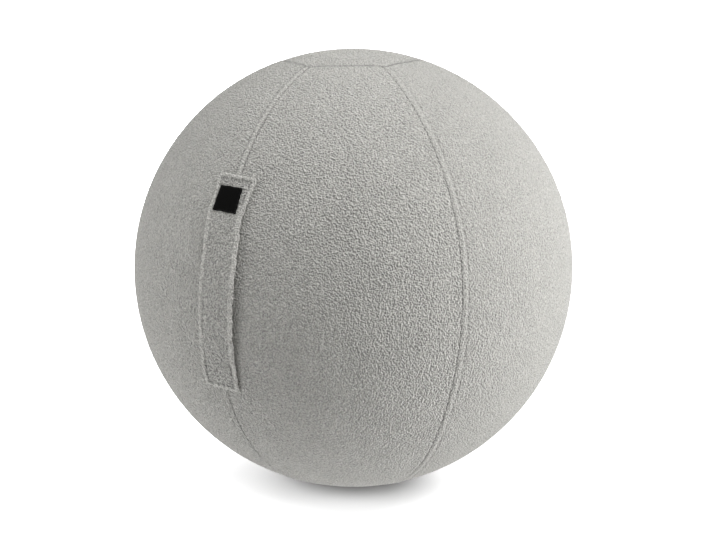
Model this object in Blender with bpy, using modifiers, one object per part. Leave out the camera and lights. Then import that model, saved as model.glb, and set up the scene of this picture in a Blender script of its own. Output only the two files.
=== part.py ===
"""Sitting ball: an inflated ball in a sewn fleece cover with a carrying strap and a rear zip.

Metres, +Z up. The origin is the middle of the patch that rests on the floor. The strap is sewn
over the seam that faces -Y, and the zip is in the lower half of the seam that faces +Y.
"""

from math import atan, cos, degrees, pi, radians, sin, sqrt, tan

import bmesh
import bpy
from mathutils import Matrix, Vector

# Ball and cover
BALL_DIAMETER = 0.650  # over the pile of the cover
FLOOR_PATCH_RADIUS = 0.040  # flattened by the ball's own weight
FABRIC = 0.0048  # fleece with its pile
COVER_FIT = 0.0004  # between the cover and the ball in it
GORES = 6
COLUMNS_PER_GORE = 8
RINGS = 22
CAP_CORNER = radians(19.0)  # from the pole to a corner of the cap
SEAM_GAP = 0.0003
SEAM_ROLL = 0.0045  # width over which a panel turns down into its seam
SEAM_DEPTH = 0.0026

# Inflated ball and its valve
BALL_WALL = 0.0011
VALVE_POLAR = radians(122.7)
VALVE_AZIMUTH = radians(168.75)  # from -Y towards +X
VALVE_SINK = 0.0036  # depth of the plug's seat below the ball's surface
VALVE_BORE = 0.0040
VALVE_BOSS_RADIUS = 0.016
VALVE_BOSS_DEPTH = 0.010
PLUG_FLANGE_RADIUS = 0.0095
PLUG_FLANGE = 0.0012
PLUG_STEM = 0.019
PLUG_TAPER = 0.0006
PLUG_RIDGE = 0.0004
CLEARANCE = 0.0003  # between pieces that touch

# Carrying strap
STRAP_TOP = radians(57.3)  # from the pole
STRAP_LENGTH = 0.293
STRAP_WIDTH = 0.058
STRAP_THICKNESS = 0.0060
STRAP_WALL = 0.0020  # one layer of the folded fleece
STRAP_SEWN = 0.040  # length of each end that is sewn down
STRAP_SLACK = 0.0072  # finger gap under the middle of the strap
STRAP_SLIT = 0.0012  # where the folded edges meet at the back
STRAP_END_FOLD = 0.008
STRAP_STITCH_INSET = 0.0075  # from the strap's edge to the line of stitches that draws it in
STRAP_STITCH_DEPTH = 0.0008
STRAP_STITCH_WIDTH = 0.0050
STRAP_STEPS = 28  # stations along the strap
WRAP_STEPS = 4  # flats across a wide band that wraps round the ball
WEBBING_THICKNESS = 0.0014
LABEL_WIDTH = 0.038
LABEL_HEIGHT = 0.035
LABEL_THICKNESS = 0.0008
LABEL_DROP = 0.015  # below the strap's upper end
LABEL_SHIFT = -0.0035

# Zip in the rear seam
ZIP_CLOSED_END = radians(150.0)  # where the slider rests, from the pole
ZIP_TEETH = 58
TOOTH_PITCH = 0.0040
TOOTH_LENGTH = 0.0017
TOOTH_GAP = 0.0003
CHAIN_THICKNESS = 0.0019
BEAD_INNER = 0.0010  # from the middle of the zip to the row's bead
BEAD_OUTER = 0.0030
TAPE_THICKNESS = 0.0006
TAPE_WIDTH = 0.0130
TAPE_TAIL = 0.012  # tape beyond each end of the chain
SLOT_MARGIN = 0.0009  # between the slider and the edges of the fabric
SLIDER_LENGTH = 0.016
SLIDER_WIDTH = 0.0094
SLIDER_PLATE = 0.0008
SLIDER_NOSE = 0.0020  # corner taken off each side of the front
SLIDER_TAPER = 0.0007  # how much each side draws in towards the rear
WEDGE_WIDTH = 0.0014
WEDGE_LENGTH = 0.0040
BAIL_WIDTH = 0.0022
BAIL_LENGTH = 0.0086
BAIL_THICKNESS = 0.0011
PULL_BAR_RADIUS = 0.0008
PULL_LENGTH = 0.026
PULL_WIDTH = 0.0086
PULL_THICKNESS = 0.0014
PULL_ARM = 0.0016
STOP_LENGTH = 0.0030
STOP_RAISE = 0.0004  # how far a stop stands above the chain
ZIP_CLEARANCE = 0.00035
ZIP_STEPS = 24  # stations along the tapes

# Fineness of the rounded shapes
TURNED_STEPS = 20
EDGE_STEPS = 4  # round each edge of the strap
LABEL_STEPS = 6
TIP_STEPS = 8  # round the tip of the pull
SHARP_ANGLE = radians(35)  # edges sharper than this are shaded as edges

# Worked out from the sizes above
RADIUS = BALL_DIAMETER / 2
CENTRE = Vector((0, 0, sqrt(RADIUS**2 - FLOOR_PATCH_RADIUS**2)))
COVER_INNER = RADIUS - FABRIC
BALL_RADIUS = COVER_INNER - COVER_FIT
CAP_EDGE = atan(tan(CAP_CORNER) * cos(pi / GORES))  # from the pole to the middle of a cap's edge
GORE_ANGLE = 2 * pi / GORES

# Radii of the zip's layers, from the ball outwards
PLATE_BOTTOM = BALL_RADIUS + CLEARANCE
CHAIN_BOTTOM = PLATE_BOTTOM + SLIDER_PLATE + ZIP_CLEARANCE
CHAIN_TOP = CHAIN_BOTTOM + CHAIN_THICKNESS
CHAIN_MIDDLE = (CHAIN_BOTTOM + CHAIN_TOP) / 2
PLATE_TOP = CHAIN_TOP + ZIP_CLEARANCE + SLIDER_PLATE
TAPE_BOTTOM = CHAIN_MIDDLE - TAPE_THICKNESS / 2
TAPE_TOP = CHAIN_MIDDLE + TAPE_THICKNESS / 2
PULL_AXIS = PLATE_TOP + PULL_BAR_RADIUS + 2 * CLEARANCE

# Angles along the zip, from the pole, closed end to open end
SLIDER_ANGLE = SLIDER_LENGTH / CHAIN_MIDDLE
SLIDER_REST = ZIP_CLOSED_END - SLIDER_ANGLE / 2
TEETH_END = SLIDER_REST + (SLIDER_LENGTH / 2 - WEDGE_LENGTH - 2 * CLEARANCE) / CHAIN_MIDDLE
TEETH_START = TEETH_END - ZIP_TEETH * TOOTH_PITCH / CHAIN_MIDDLE
STOP_ANGLE = STOP_LENGTH / CHAIN_MIDDLE
TAIL_ANGLE = TAPE_TAIL / CHAIN_MIDDLE
SMALL_ANGLE = CLEARANCE / CHAIN_MIDDLE
SLOT_HALF = SLIDER_WIDTH / 2 + SLOT_MARGIN
SLIDER_OPEN = TEETH_START + SLIDER_ANGLE / 2 + SMALL_ANGLE
ZIP_TRAVEL = SLIDER_REST - SLIDER_OPEN

for old in list(bpy.data.objects):
    bpy.data.objects.remove(old)

PARTS = bpy.data.collections.new("sitting_ball")
CUTTERS = bpy.data.collections.new("sitting_ball_cutters")
for collection in (PARTS, CUTTERS):
    bpy.context.scene.collection.children.link(collection)


def material(name, colour, roughness, metallic=0.0):
    made = bpy.data.materials.new(name)
    made.use_nodes = True
    shader = made.node_tree.nodes["Principled BSDF"]
    shader.inputs["Base Color"].default_value = (*colour, 1)
    shader.inputs["Roughness"].default_value = roughness
    shader.inputs["Metallic"].default_value = metallic
    return made


FLEECE = material("fleece", (0.47, 0.46, 0.43), 0.95)
WEBBING = material("webbing", (0.33, 0.32, 0.30), 0.85)
LABEL = material("label", (0.012, 0.012, 0.012), 0.75)
PVC = material("pvc", (0.20, 0.21, 0.22), 0.45)
PLUG = material("plug", (0.78, 0.78, 0.76), 0.40)
TAPE = material("zip_tape", (0.40, 0.39, 0.36), 0.85)
TEETH = material("zip_teeth", (0.36, 0.35, 0.33), 0.50)
METAL = material("zip_metal", (0.55, 0.55, 0.54), 0.35, 1.0)


def finish(bm, name, finish_material, cutter=False, smooth=True):
    """Turns a closed bmesh into a named object, faces out, and returns it."""
    bmesh.ops.recalc_face_normals(bm, faces=bm.faces)
    mesh = bpy.data.meshes.new(name)
    bm.to_mesh(mesh)
    bm.free()
    if smooth and not cutter:
        mesh.shade_smooth()
        mesh.set_sharp_from_angle(angle=SHARP_ANGLE)
    made = bpy.data.objects.new(name, mesh)
    if cutter:
        CUTTERS.objects.link(made)
        made.hide_render = True
        made.display_type = "WIRE"
    else:
        PARTS.objects.link(made)
        mesh.materials.append(finish_material)
    return made


def boolean(target, other, operation="DIFFERENCE"):
    modifier = target.modifiers.new(other.name, "BOOLEAN")
    modifier.operation = operation
    modifier.object = other
    modifier.solver = "EXACT"


# Directions and places on the ball
def direction(polar, azimuth):
    """Unit vector at an angle from the pole, and at an azimuth from -Y towards +X."""
    return Vector((sin(polar) * sin(azimuth), -sin(polar) * cos(azimuth), cos(polar)))


def beside_seam(side, across, radius, polar):
    """The point at a distance across the front (-1) or rear (+1) seam, wrapped round the ball."""
    along = Vector((0, side * sin(polar), cos(polar)))
    turn = across / RADIUS
    return CENTRE + radius * (sin(turn) * Vector((1, 0, 0)) + cos(turn) * along)


def ball_surface(radius):
    """A turned ball with a flat patch underneath, scaled about the centre from the cover's size."""
    scale = radius / RADIUS
    patch_polar = pi - atan(FLOOR_PATCH_RADIUS / CENTRE.z)
    profile = [RADIUS * Vector((0, 0, 1))]
    profile += [RADIUS * direction(patch_polar * i / RINGS, pi / 2) for i in range(1, RINGS + 1)]
    profile.append(-CENTRE)
    bm = bmesh.new()
    points = [bm.verts.new(CENTRE + scale * point) for point in profile]
    edges = [bm.edges.new(pair) for pair in zip(points, points[1:])]
    bmesh.ops.spin(
        bm,
        geom=points + edges,
        cent=(0, 0, 0),
        axis=(0, 0, 1),
        angle=2 * pi,
        steps=GORES * COLUMNS_PER_GORE,
    )
    bmesh.ops.remove_doubles(bm, verts=bm.verts, dist=1e-6)
    bmesh.ops.recalc_face_normals(bm, faces=bm.faces)
    return bm


# Cover panels
def seam_plane(azimuth, side):
    """The cut beside a vertical seam: a point on it, and the direction in which cloth is cut off."""
    normal = side * Vector((cos(azimuth), sin(azimuth), 0))
    return CENTRE - normal * SEAM_GAP / 2, normal


def cap_plane(azimuth, upright, side):
    """The cut beside one edge of a cap. Side +1 keeps the cap, and -1 keeps the gores."""
    edge = direction(CAP_EDGE, azimuth)
    normal = Vector((edge.z * sin(azimuth), -edge.z * cos(azimuth), -edge.xy.length))
    normal = Vector((normal.x, normal.y, upright * normal.z)) * side
    return CENTRE - normal * SEAM_GAP / 2, normal


def panel(name, planes):
    """A piece of the cover between cut planes, its edges rolled down into the seams."""
    bm = ball_surface(RADIUS)
    for point, normal in planes:
        geometry = bm.verts[:] + bm.edges[:] + bm.faces[:]
        bmesh.ops.bisect_plane(bm, geom=geometry, plane_co=point, plane_no=normal, clear_outer=True)
    for point, normal in planes:
        geometry = bm.verts[:] + bm.edges[:] + bm.faces[:]
        inset = point - normal * SEAM_ROLL
        bmesh.ops.bisect_plane(bm, geom=geometry, plane_co=inset, plane_no=normal)
    outer = bm.verts[:]
    made = bmesh.ops.extrude_face_region(bm, geom=bm.faces[:])["geom"]
    inner = [item for item in made if isinstance(item, bmesh.types.BMVert)]
    for vertex in inner:
        vertex.co = CENTRE + (vertex.co - CENTRE) * COVER_INNER / RADIUS
    for vertex in outer:
        inside = min((point - vertex.co).dot(normal) for point, normal in planes)
        if inside < SEAM_ROLL / 2:
            vertex.co += (CENTRE - vertex.co).normalized() * SEAM_DEPTH
    return finish(bm, name, FLEECE)


def half_plane(upright):
    """Cuts the ball across, so that a cap is kept at one pole only."""
    return CENTRE + Vector((0, 0, upright * RADIUS / 2)), Vector((0, 0, -upright))


def build_cover():
    gores = []
    for index in range(GORES):
        low, high = index * GORE_ANGLE, (index + 1) * GORE_ANGLE
        middle = (low + high) / 2
        planes = [seam_plane(low, -1), seam_plane(high, 1)]
        planes += [cap_plane(middle, upright, -1) for upright in (1, -1)]
        gores.append(panel(f"gore_{index + 1}", planes))
    middles = [(index + 0.5) * GORE_ANGLE for index in range(GORES)]
    for name, upright in (("top_cap", 1), ("base_cap", -1)):
        panel(name, [cap_plane(middle, upright, 1) for middle in middles] + [half_plane(upright)])
    return gores


# Bars that follow a seam
def bar_along(bm, side, radius_at, outline, polars):
    """A bar with an (across, height) outline, swept along the front or rear seam."""
    face = None
    for polar in polars:
        places = [beside_seam(side, x, radius_at(polar) + h, polar) for x, h in outline]
        if face is None:
            face = bm.faces.new([bm.verts.new(place) for place in places])
            continue
        made = bmesh.ops.extrude_face_region(bm, geom=[face])["geom"]
        if polar != polars[1]:
            bm.faces.remove(face)
        face = next(item for item in made if isinstance(item, bmesh.types.BMFace))
        for vertex, place in zip(face.verts, places):
            vertex.co = place
    return bm


def rectangle(left, right, bottom, top, across=1):
    """A flat outline whose long edges have points to wrap round the ball with."""
    lower = [(x, bottom) for x in spread(left, right, across)]
    return lower + [(x, top) for x in spread(right, left, across)]


def spread(start, end, count):
    return [start + (end - start) * i / count for i in range(count + 1)]


# Carrying strap
def strap_lift(polar):
    """Height of the strap's underside over the ball: sewn down at the ends, slack between."""
    along = (polar - STRAP_TOP) * RADIUS
    free = (along - STRAP_SEWN) / (STRAP_LENGTH - 2 * STRAP_SEWN)
    return RADIUS + CLEARANCE + STRAP_SLACK * max(0, 4 * free * (1 - free))


def strap_polars(start, end, count):
    """Stations between two lengths along the strap, as angles from the pole."""
    return [STRAP_TOP + length / RADIUS for length in spread(start, end, count)]


def strap_outline(half_width, thickness):
    """The strap's section, with half-round edges and a channel along each line of stitches."""
    radius = thickness / 2
    right = spread(-pi / 2, pi / 2, EDGE_STEPS)
    edge = half_width - radius
    points = [(edge + radius * cos(a), radius + radius * sin(a)) for a in right]
    stitch = half_width - STRAP_STITCH_INSET
    drawn_in = [(stitch, thickness - STRAP_STITCH_DEPTH), (stitch - STRAP_STITCH_WIDTH / 2, thickness)]
    top = drawn_in + [(0, thickness)] + [(-x, h) for x, h in reversed(drawn_in)]
    bottom = [(-x, 0) for x in spread(edge, -edge, WRAP_STEPS)[1:-1]]
    return points + top + [(-x, h) for x, h in reversed(points)] + bottom


def build_strap():
    strap = bmesh.new()
    outline = strap_outline(STRAP_WIDTH / 2, STRAP_THICKNESS)
    bar_along(strap, -1, strap_lift, outline, strap_polars(0, STRAP_LENGTH, STRAP_STEPS))
    strap = finish(strap, "handle_strap", FLEECE)

    pocket_half = STRAP_WIDTH / 2 - STRAP_WALL
    pocket_bottom = STRAP_WALL
    pocket_top = STRAP_WALL + WEBBING_THICKNESS + 2 * CLEARANCE
    pocket_ends = STRAP_END_FOLD, STRAP_LENGTH - STRAP_END_FOLD
    pocket = bmesh.new()
    outline = rectangle(-pocket_half, pocket_half, pocket_bottom, pocket_top, WRAP_STEPS)
    bar_along(pocket, -1, strap_lift, outline, strap_polars(*pocket_ends, STRAP_STEPS))
    boolean(strap, finish(pocket, "strap_pocket", None, cutter=True))

    slit = bmesh.new()
    outline = rectangle(-STRAP_SLIT / 2, STRAP_SLIT / 2, -STRAP_WALL, (pocket_bottom + pocket_top) / 2)
    slit_ends = STRAP_SEWN, STRAP_LENGTH - STRAP_SEWN
    bar_along(slit, -1, strap_lift, outline, strap_polars(*slit_ends, STRAP_STEPS))
    boolean(strap, finish(slit, "strap_slit", None, cutter=True))

    webbing = bmesh.new()
    half = pocket_half - CLEARANCE
    outline = rectangle(-half, half, pocket_bottom + CLEARANCE, pocket_top - CLEARANCE, WRAP_STEPS)
    webbing_ends = pocket_ends[0] + CLEARANCE, pocket_ends[1] - CLEARANCE
    bar_along(webbing, -1, strap_lift, outline, strap_polars(*webbing_ends, STRAP_STEPS))
    finish(webbing, "handle_webbing", WEBBING)

    label = bmesh.new()
    bottom = STRAP_THICKNESS + CLEARANCE
    left, right = LABEL_SHIFT - LABEL_WIDTH / 2, LABEL_SHIFT + LABEL_WIDTH / 2
    outline = rectangle(left, right, bottom, bottom + LABEL_THICKNESS, WRAP_STEPS)
    label_ends = LABEL_DROP, LABEL_DROP + LABEL_HEIGHT
    bar_along(label, -1, strap_lift, outline, strap_polars(*label_ends, LABEL_STEPS))
    finish(label, "woven_label", LABEL)


# Inflated ball
def turned(name, profile, place, along, turned_material=None):
    """A profile of (radius, height) points turned about a direction. A cutter has no material."""
    mesh = bpy.data.meshes.new(name)
    edges = [(i, i + 1) for i in range(len(profile) - 1)]
    mesh.from_pydata([(radius, 0, height) for radius, height in profile], edges, [])
    made = bpy.data.objects.new(name, mesh)
    made.matrix_world = Matrix.Translation(place) @ along.to_track_quat("Z", "Y").to_matrix().to_4x4()
    screw = made.modifiers.new("turned", "SCREW")
    screw.steps = screw.render_steps = TURNED_STEPS
    screw.use_merge_vertices = True
    screw.merge_threshold = 1e-5
    screw.use_smooth_shade = False
    if turned_material:
        mesh.materials.append(turned_material)
        PARTS.objects.link(made)
    else:
        CUTTERS.objects.link(made)
        made.hide_render = True
        made.display_type = "WIRE"
    return made


def build_inner_ball():
    outwards = direction(VALVE_POLAR, VALVE_AZIMUTH)
    seat = CENTRE + outwards * (BALL_RADIUS - VALVE_SINK)
    boss_end = VALVE_SINK - VALVE_BOSS_DEPTH
    above = VALVE_SINK + BALL_WALL

    ball = finish(ball_surface(BALL_RADIUS), "inner_ball", PVC)
    hollow = finish(ball_surface(BALL_RADIUS - BALL_WALL), "ball_hollow", None, cutter=True)
    boss_profile = [(0, above), (VALVE_BOSS_RADIUS, above), (VALVE_BOSS_RADIUS, boss_end), (0, boss_end)]
    boolean(hollow, turned("valve_boss", boss_profile, seat, outwards))
    boolean(ball, hollow)

    recess = PLUG_FLANGE_RADIUS + CLEARANCE
    bore_end = boss_end - BALL_WALL
    bore_profile = [(0, above), (recess, above), (recess, 0)]
    bore_profile += [(VALVE_BORE, 0), (VALVE_BORE, bore_end), (0, bore_end)]
    boolean(ball, turned("valve_bore", bore_profile, seat, outwards))

    stem = VALVE_BORE - CLEARANCE
    barb = VALVE_BORE + PLUG_RIDGE
    behind_boss = boss_end - CLEARANCE
    end = -PLUG_STEM
    profile = [
        (0, CLEARANCE + PLUG_FLANGE),
        (PLUG_FLANGE_RADIUS, CLEARANCE + PLUG_FLANGE),
        (PLUG_FLANGE_RADIUS, CLEARANCE),
        (stem, CLEARANCE),
        (stem, behind_boss),
        (barb, behind_boss),
        (stem - PLUG_TAPER, (behind_boss + end) / 2),
        (barb - PLUG_TAPER, (behind_boss + end) / 2),
        (stem - 2 * PLUG_TAPER, end),
        (0, end),
    ]
    turned("valve_plug", profile, seat, outwards, PLUG)


# Zip
def zip_bar(name, bar_material, left, right, bottom, top, polars, cutter=False):
    """A bar of the zip between two radii, swept along the rear seam."""
    bm = bmesh.new()
    outline = rectangle(left, right, bottom, top, WRAP_STEPS if left * right < 0 else 1)
    bar_along(bm, 1, lambda polar: 0, outline, polars)
    return finish(bm, name, bar_material, cutter=cutter, smooth=False)


def cut_zip_opening(gores):
    """Opens the rear seam for the zip, and thins the cloth where the tapes are sewn under it."""
    stop_room = STOP_ANGLE + 3 * SMALL_ANGLE
    slot_polars = spread(TEETH_START - stop_room, ZIP_CLOSED_END + stop_room, ZIP_STEPS)
    low, high = COVER_INNER - FABRIC, RADIUS + FABRIC
    slot = zip_bar("zip_slot", None, -SLOT_HALF, SLOT_HALF, low, high, slot_polars, cutter=True)
    tail_room = TAIL_ANGLE + SMALL_ANGLE
    tape_polars = spread(TEETH_START - tail_room, ZIP_CLOSED_END + tail_room, ZIP_STEPS)
    for side, gore in ((1, gores[GORES // 2 - 1]), (-1, gores[GORES // 2])):
        left, right = sorted((side * BEAD_OUTER, side * (BEAD_OUTER + TAPE_WIDTH + 2 * CLEARANCE)))
        roof = TAPE_TOP + CLEARANCE
        rebate = zip_bar(f"rebate_{gore.name}", None, left, right, low, roof, tape_polars, cutter=True)
        boolean(gore, rebate)
        boolean(gore, slot)


def teeth_row(name, side, phase):
    """One row of teeth: a bead along the tape's edge, with every other face drawn out into a tooth."""
    pitch = TOOTH_PITCH / CHAIN_MIDDLE
    trim = TOOTH_GAP / CHAIN_MIDDLE / 2
    starts = [TEETH_START + (index + phase) * pitch + trim for index in range(ZIP_TEETH)]
    tooth = pitch / 2 - 2 * trim
    polars = [TEETH_START]
    for start in starts:
        polars += [start, start + tooth]
    polars.append(ZIP_CLOSED_END)
    bm = bmesh.new()
    outline = rectangle(*sorted((side * BEAD_INNER, side * BEAD_OUTER)), CHAIN_BOTTOM, CHAIN_TOP)
    bar_along(bm, 1, lambda polar: 0, outline, polars)
    bmesh.ops.recalc_face_normals(bm, faces=bm.faces)
    roots = []
    for face in bm.faces:
        middle = face.calc_center_median() - CENTRE
        polar = pi / 2 - atan(middle.z / middle.y)
        faces_centre = face.normal.x * side < -0.9
        if faces_centre and any(start < polar < start + tooth for start in starts):
            roots.append(face)
    tips = bmesh.ops.extrude_discrete_faces(bm, faces=roots)["faces"]
    tip_verts = list({vertex for face in tips for vertex in face.verts})
    bmesh.ops.translate(bm, verts=tip_verts, vec=(-side * TOOTH_LENGTH, 0, 0))
    finish(bm, name, TEETH, smooth=False)


def prism(name, outline, axis, low, high, prism_material=None):
    """A closed outline drawn straight along X, Y or Z. Without a material it is a helper."""
    order = {"X": lambda a, b, c: (c, a, b), "Y": lambda a, b, c: (a, c, b), "Z": lambda a, b, c: (a, b, c)}
    place = order[axis]
    bm = bmesh.new()
    face = bm.faces.new([bm.verts.new(place(a, b, low)) for a, b in outline])
    made = bmesh.ops.extrude_face_region(bm, geom=[face])["geom"]
    moved = [item for item in made if isinstance(item, bmesh.types.BMVert)]
    bmesh.ops.translate(bm, verts=moved, vec=place(0, 0, high - low))
    return finish(bm, name, prism_material, cutter=prism_material is None, smooth=False)


def slider_shell(outer, inner, flange):
    """Half of the slider's section, a plate with a flange down each side, as (across, radius)."""
    half = SLIDER_WIDTH / 2
    inside = BEAD_OUTER + ZIP_CLEARANCE
    right = [(half, outer), (half, flange), (inside, flange), (inside, inner)]
    return right + [(-x, r) for x, r in reversed(right)]


def build_slider():
    """The slider stands on its travel's axis, the ball's centre, with its height as a radius."""
    half = SLIDER_LENGTH / 2
    top = slider_shell(PLATE_TOP, CHAIN_TOP + ZIP_CLEARANCE, TAPE_TOP + ZIP_CLEARANCE)
    bottom = slider_shell(PLATE_BOTTOM, CHAIN_BOTTOM - ZIP_CLEARANCE, TAPE_BOTTOM - ZIP_CLEARANCE)
    slider = prism("zip_slider", top, "Y", -half, half, METAL)
    helpers = [prism("slider_bottom", bottom, "Y", -half, half)]

    sink = SLIDER_PLATE / 2
    w, tip = WEDGE_WIDTH / 2, half - WEDGE_LENGTH
    wedge = [(-w, half - sink), (w, half - sink), (w, tip + w), (0, tip), (-w, tip + w)]
    helpers.append(prism("slider_wedge", wedge, "Z", PLATE_BOTTOM + sink, PLATE_TOP - sink))

    foot, inside, arch_top = PLATE_TOP - sink, 2 * PULL_AXIS - PLATE_TOP, bail_top()
    end, bend = BAIL_LENGTH / 2, BAIL_THICKNESS
    right = [(end, foot), (end, arch_top - bend), (end - bend, arch_top)]
    inner_right = [(end - bend, inside), (end - bend, foot)]
    arch = [(-y, r) for y, r in right] + right[::-1] + inner_right[::-1] + [(-y, r) for y, r in inner_right]
    helpers.append(prism("slider_bail", arch, "X", -BAIL_WIDTH / 2, BAIL_WIDTH / 2))
    for helper in helpers:
        boolean(slider, helper, "UNION")

    front, rear = SLIDER_WIDTH / 2, SLIDER_WIDTH / 2 - SLIDER_TAPER
    shield = [(front - SLIDER_NOSE, half), (front, half - SLIDER_NOSE), (front, 0), (rear, -half)]
    shield += [(-x, y) for x, y in reversed(shield)]
    margin = SLIDER_LENGTH
    plan = prism("slider_plan", shield, "Z", PLATE_BOTTOM - margin, bail_top() + margin)
    boolean(slider, plan, "INTERSECT")
    helpers.append(plan)

    travel = bpy.data.objects.new("zip_travel", None)
    PARTS.objects.link(travel)
    travel.location = CENTRE
    travel.rotation_euler = (-SLIDER_REST, 0, 0)
    for made in [slider] + helpers:
        made.parent = travel


def bail_top():
    """Radius of the top of the bail, an arch over the pull's bar."""
    return 2 * PULL_AXIS - PLATE_TOP + BAIL_THICKNESS


def pull_outline():
    """The tab and its eye, as (across, along) points from the bar's middle down to the tip."""
    half = PULL_WIDTH / 2
    round_end = spread(0, pi, TIP_STEPS)
    tip = PULL_LENGTH - half
    tab = [(half, -PULL_BAR_RADIUS)] + [(half * cos(a), tip + half * sin(a)) for a in round_end]
    tab.append((-half, -PULL_BAR_RADIUS))
    reach = sqrt((BAIL_LENGTH / 2) ** 2 + (bail_top() - PULL_AXIS) ** 2) + CLEARANCE
    eye_half = half - PULL_ARM
    eye = rectangle(-eye_half, eye_half, PULL_BAR_RADIUS, reach)
    return tab, eye


def build_pull():
    """The pull hangs straight down from its bar, which is the axis that it swings about."""
    curve = bpy.data.curves.new("zip_pull", "CURVE")
    curve.dimensions = "2D"
    curve.fill_mode = "BOTH"
    curve.extrude = PULL_THICKNESS / 2
    for outline in pull_outline():
        spline = curve.splines.new("POLY")
        spline.points.add(len(outline) - 1)
        spline.use_cyclic_u = True
        for point, (across, along) in zip(spline.points, outline):
            point.co = (across, -along, 0, 1)
    curve.materials.append(METAL)
    pull = bpy.data.objects.new("zip_pull", curve)
    PARTS.objects.link(pull)
    pull.location = CENTRE + PULL_AXIS * Vector((0, sin(SLIDER_REST), cos(SLIDER_REST)))
    pull.rotation_euler = (pi / 2, 0, 0)


def build_stops():
    start = ZIP_CLOSED_END + SMALL_ANGLE
    closed = [start, start + STOP_ANGLE]
    low, high = CHAIN_BOTTOM - STOP_RAISE, CHAIN_TOP + STOP_RAISE
    zip_bar("zip_top_stop_left", METAL, -BEAD_OUTER, -BEAD_INNER, low, high, closed)
    zip_bar("zip_top_stop_right", METAL, BEAD_INNER, BEAD_OUTER, low, high, closed)
    end = TEETH_START - SMALL_ANGLE
    zip_bar("zip_bottom_stop", METAL, -BEAD_OUTER, BEAD_OUTER, low, high, [end - STOP_ANGLE, end])


def build_zip(gores):
    cut_zip_opening(gores)
    polars = spread(TEETH_START - TAIL_ANGLE, ZIP_CLOSED_END + TAIL_ANGLE, ZIP_STEPS)
    edge = BEAD_OUTER + CLEARANCE
    zip_bar("zip_tape_left", TAPE, -edge - TAPE_WIDTH, -edge, TAPE_BOTTOM, TAPE_TOP, polars)
    zip_bar("zip_tape_right", TAPE, edge, edge + TAPE_WIDTH, TAPE_BOTTOM, TAPE_TOP, polars)
    teeth_row("zip_teeth_left", -1, 0.0)
    teeth_row("zip_teeth_right", 1, 0.5)
    build_slider()
    build_pull()
    build_stops()


build_inner_ball()
build_zip(build_cover())
build_strap()
print(f"zip travel {degrees(ZIP_TRAVEL):.2f} degrees, ball centre at {CENTRE.z:.6f} m")
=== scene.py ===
# %% [markdown]
# # A sitting ball in a curly fleece cover
#
# The real thing is an inflated ball inside a zipped cover. Six gores run from a six-sided cap at the
# top to another at the bottom. A carrying strap with a plain woven label is sewn over the front seam,
# and a zip is set into the rear one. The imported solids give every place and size. This script dresses
# them: it grows a pile on the cloth, sews the seams, weaves the tapes and lights a small studio.

from math import cos, pi, radians, sin, sqrt, tan

import bmesh
import bpy
import numpy as np
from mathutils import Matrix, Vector


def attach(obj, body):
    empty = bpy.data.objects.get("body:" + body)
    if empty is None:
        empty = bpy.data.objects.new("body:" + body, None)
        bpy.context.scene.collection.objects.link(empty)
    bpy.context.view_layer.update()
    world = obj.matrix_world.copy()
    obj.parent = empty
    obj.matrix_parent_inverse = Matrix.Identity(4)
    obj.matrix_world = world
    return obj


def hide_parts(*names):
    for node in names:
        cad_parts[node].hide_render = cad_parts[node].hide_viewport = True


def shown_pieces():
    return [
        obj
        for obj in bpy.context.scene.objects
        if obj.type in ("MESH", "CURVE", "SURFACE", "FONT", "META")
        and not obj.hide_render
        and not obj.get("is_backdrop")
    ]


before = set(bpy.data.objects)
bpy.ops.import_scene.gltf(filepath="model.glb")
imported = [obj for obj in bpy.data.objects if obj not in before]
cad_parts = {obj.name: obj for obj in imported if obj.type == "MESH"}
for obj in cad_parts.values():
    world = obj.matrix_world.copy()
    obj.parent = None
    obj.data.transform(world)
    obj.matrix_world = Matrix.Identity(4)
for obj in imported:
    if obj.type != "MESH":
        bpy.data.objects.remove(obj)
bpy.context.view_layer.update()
print("packed nodes:", len(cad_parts))

# %% [markdown]
# ## The ball and the camera
#
# All places on a ball are two angles and a radius. Here the first angle runs down from the top pole,
# and the second runs round from the front seam (-Y) towards +X. The camera stands where the
# photographer stood: its direction, distance and lens were worked out from the ball's round outline
# and from where the two seams in view cross it.

# %% Places on the ball, and the camera
RADIUS = 0.325  # over the pile
FLOOR_PATCH = 0.040  # radius of the flat on which the ball rests
CENTRE = Vector((0, 0, sqrt(RADIUS**2 - FLOOR_PATCH**2)))
MIDDLE = np.array(CENTRE)
VIEW_AZIMUTH, VIEW_HEIGHT = radians(34.26), radians(12.95)
VIEW_DISTANCE = 2.1775
VIEW_LENS = 73.04
VIEW_SHIFT = 0.0064, -0.0034  # the ball stands a little off the picture's middle


def on_ball(polar, azimuth, radius):
    """Points at angles from the top pole and round from the front seam, as rows of x, y, z."""
    polar, azimuth, radius = np.broadcast_arrays(polar, azimuth, radius)
    rows = [np.sin(polar) * np.sin(azimuth), -np.sin(polar) * np.cos(azimuth), np.cos(polar)]
    return np.stack(rows, -1) * radius[..., None] + MIDDLE


def link(thing):
    bpy.context.scene.collection.objects.link(thing)
    return thing


def facing_ball(data, azimuth, height, distance):
    """A camera or lamp that stands round the ball and looks at its middle."""
    thing = link(bpy.data.objects.new(data.name, data))
    thing.location = on_ball(pi / 2 - height, azimuth, distance)
    thing.rotation_euler = (CENTRE - thing.location).to_track_quat("-Z", "Y").to_euler()
    return thing


lens = bpy.data.cameras.new("camera")
lens.lens = VIEW_LENS
lens.shift_x, lens.shift_y = VIEW_SHIFT
camera = facing_ball(lens, VIEW_AZIMUTH, VIEW_HEIGHT, VIEW_DISTANCE)
bpy.context.scene.camera = camera
print("camera at", [round(x, 3) for x in camera.location])

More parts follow.
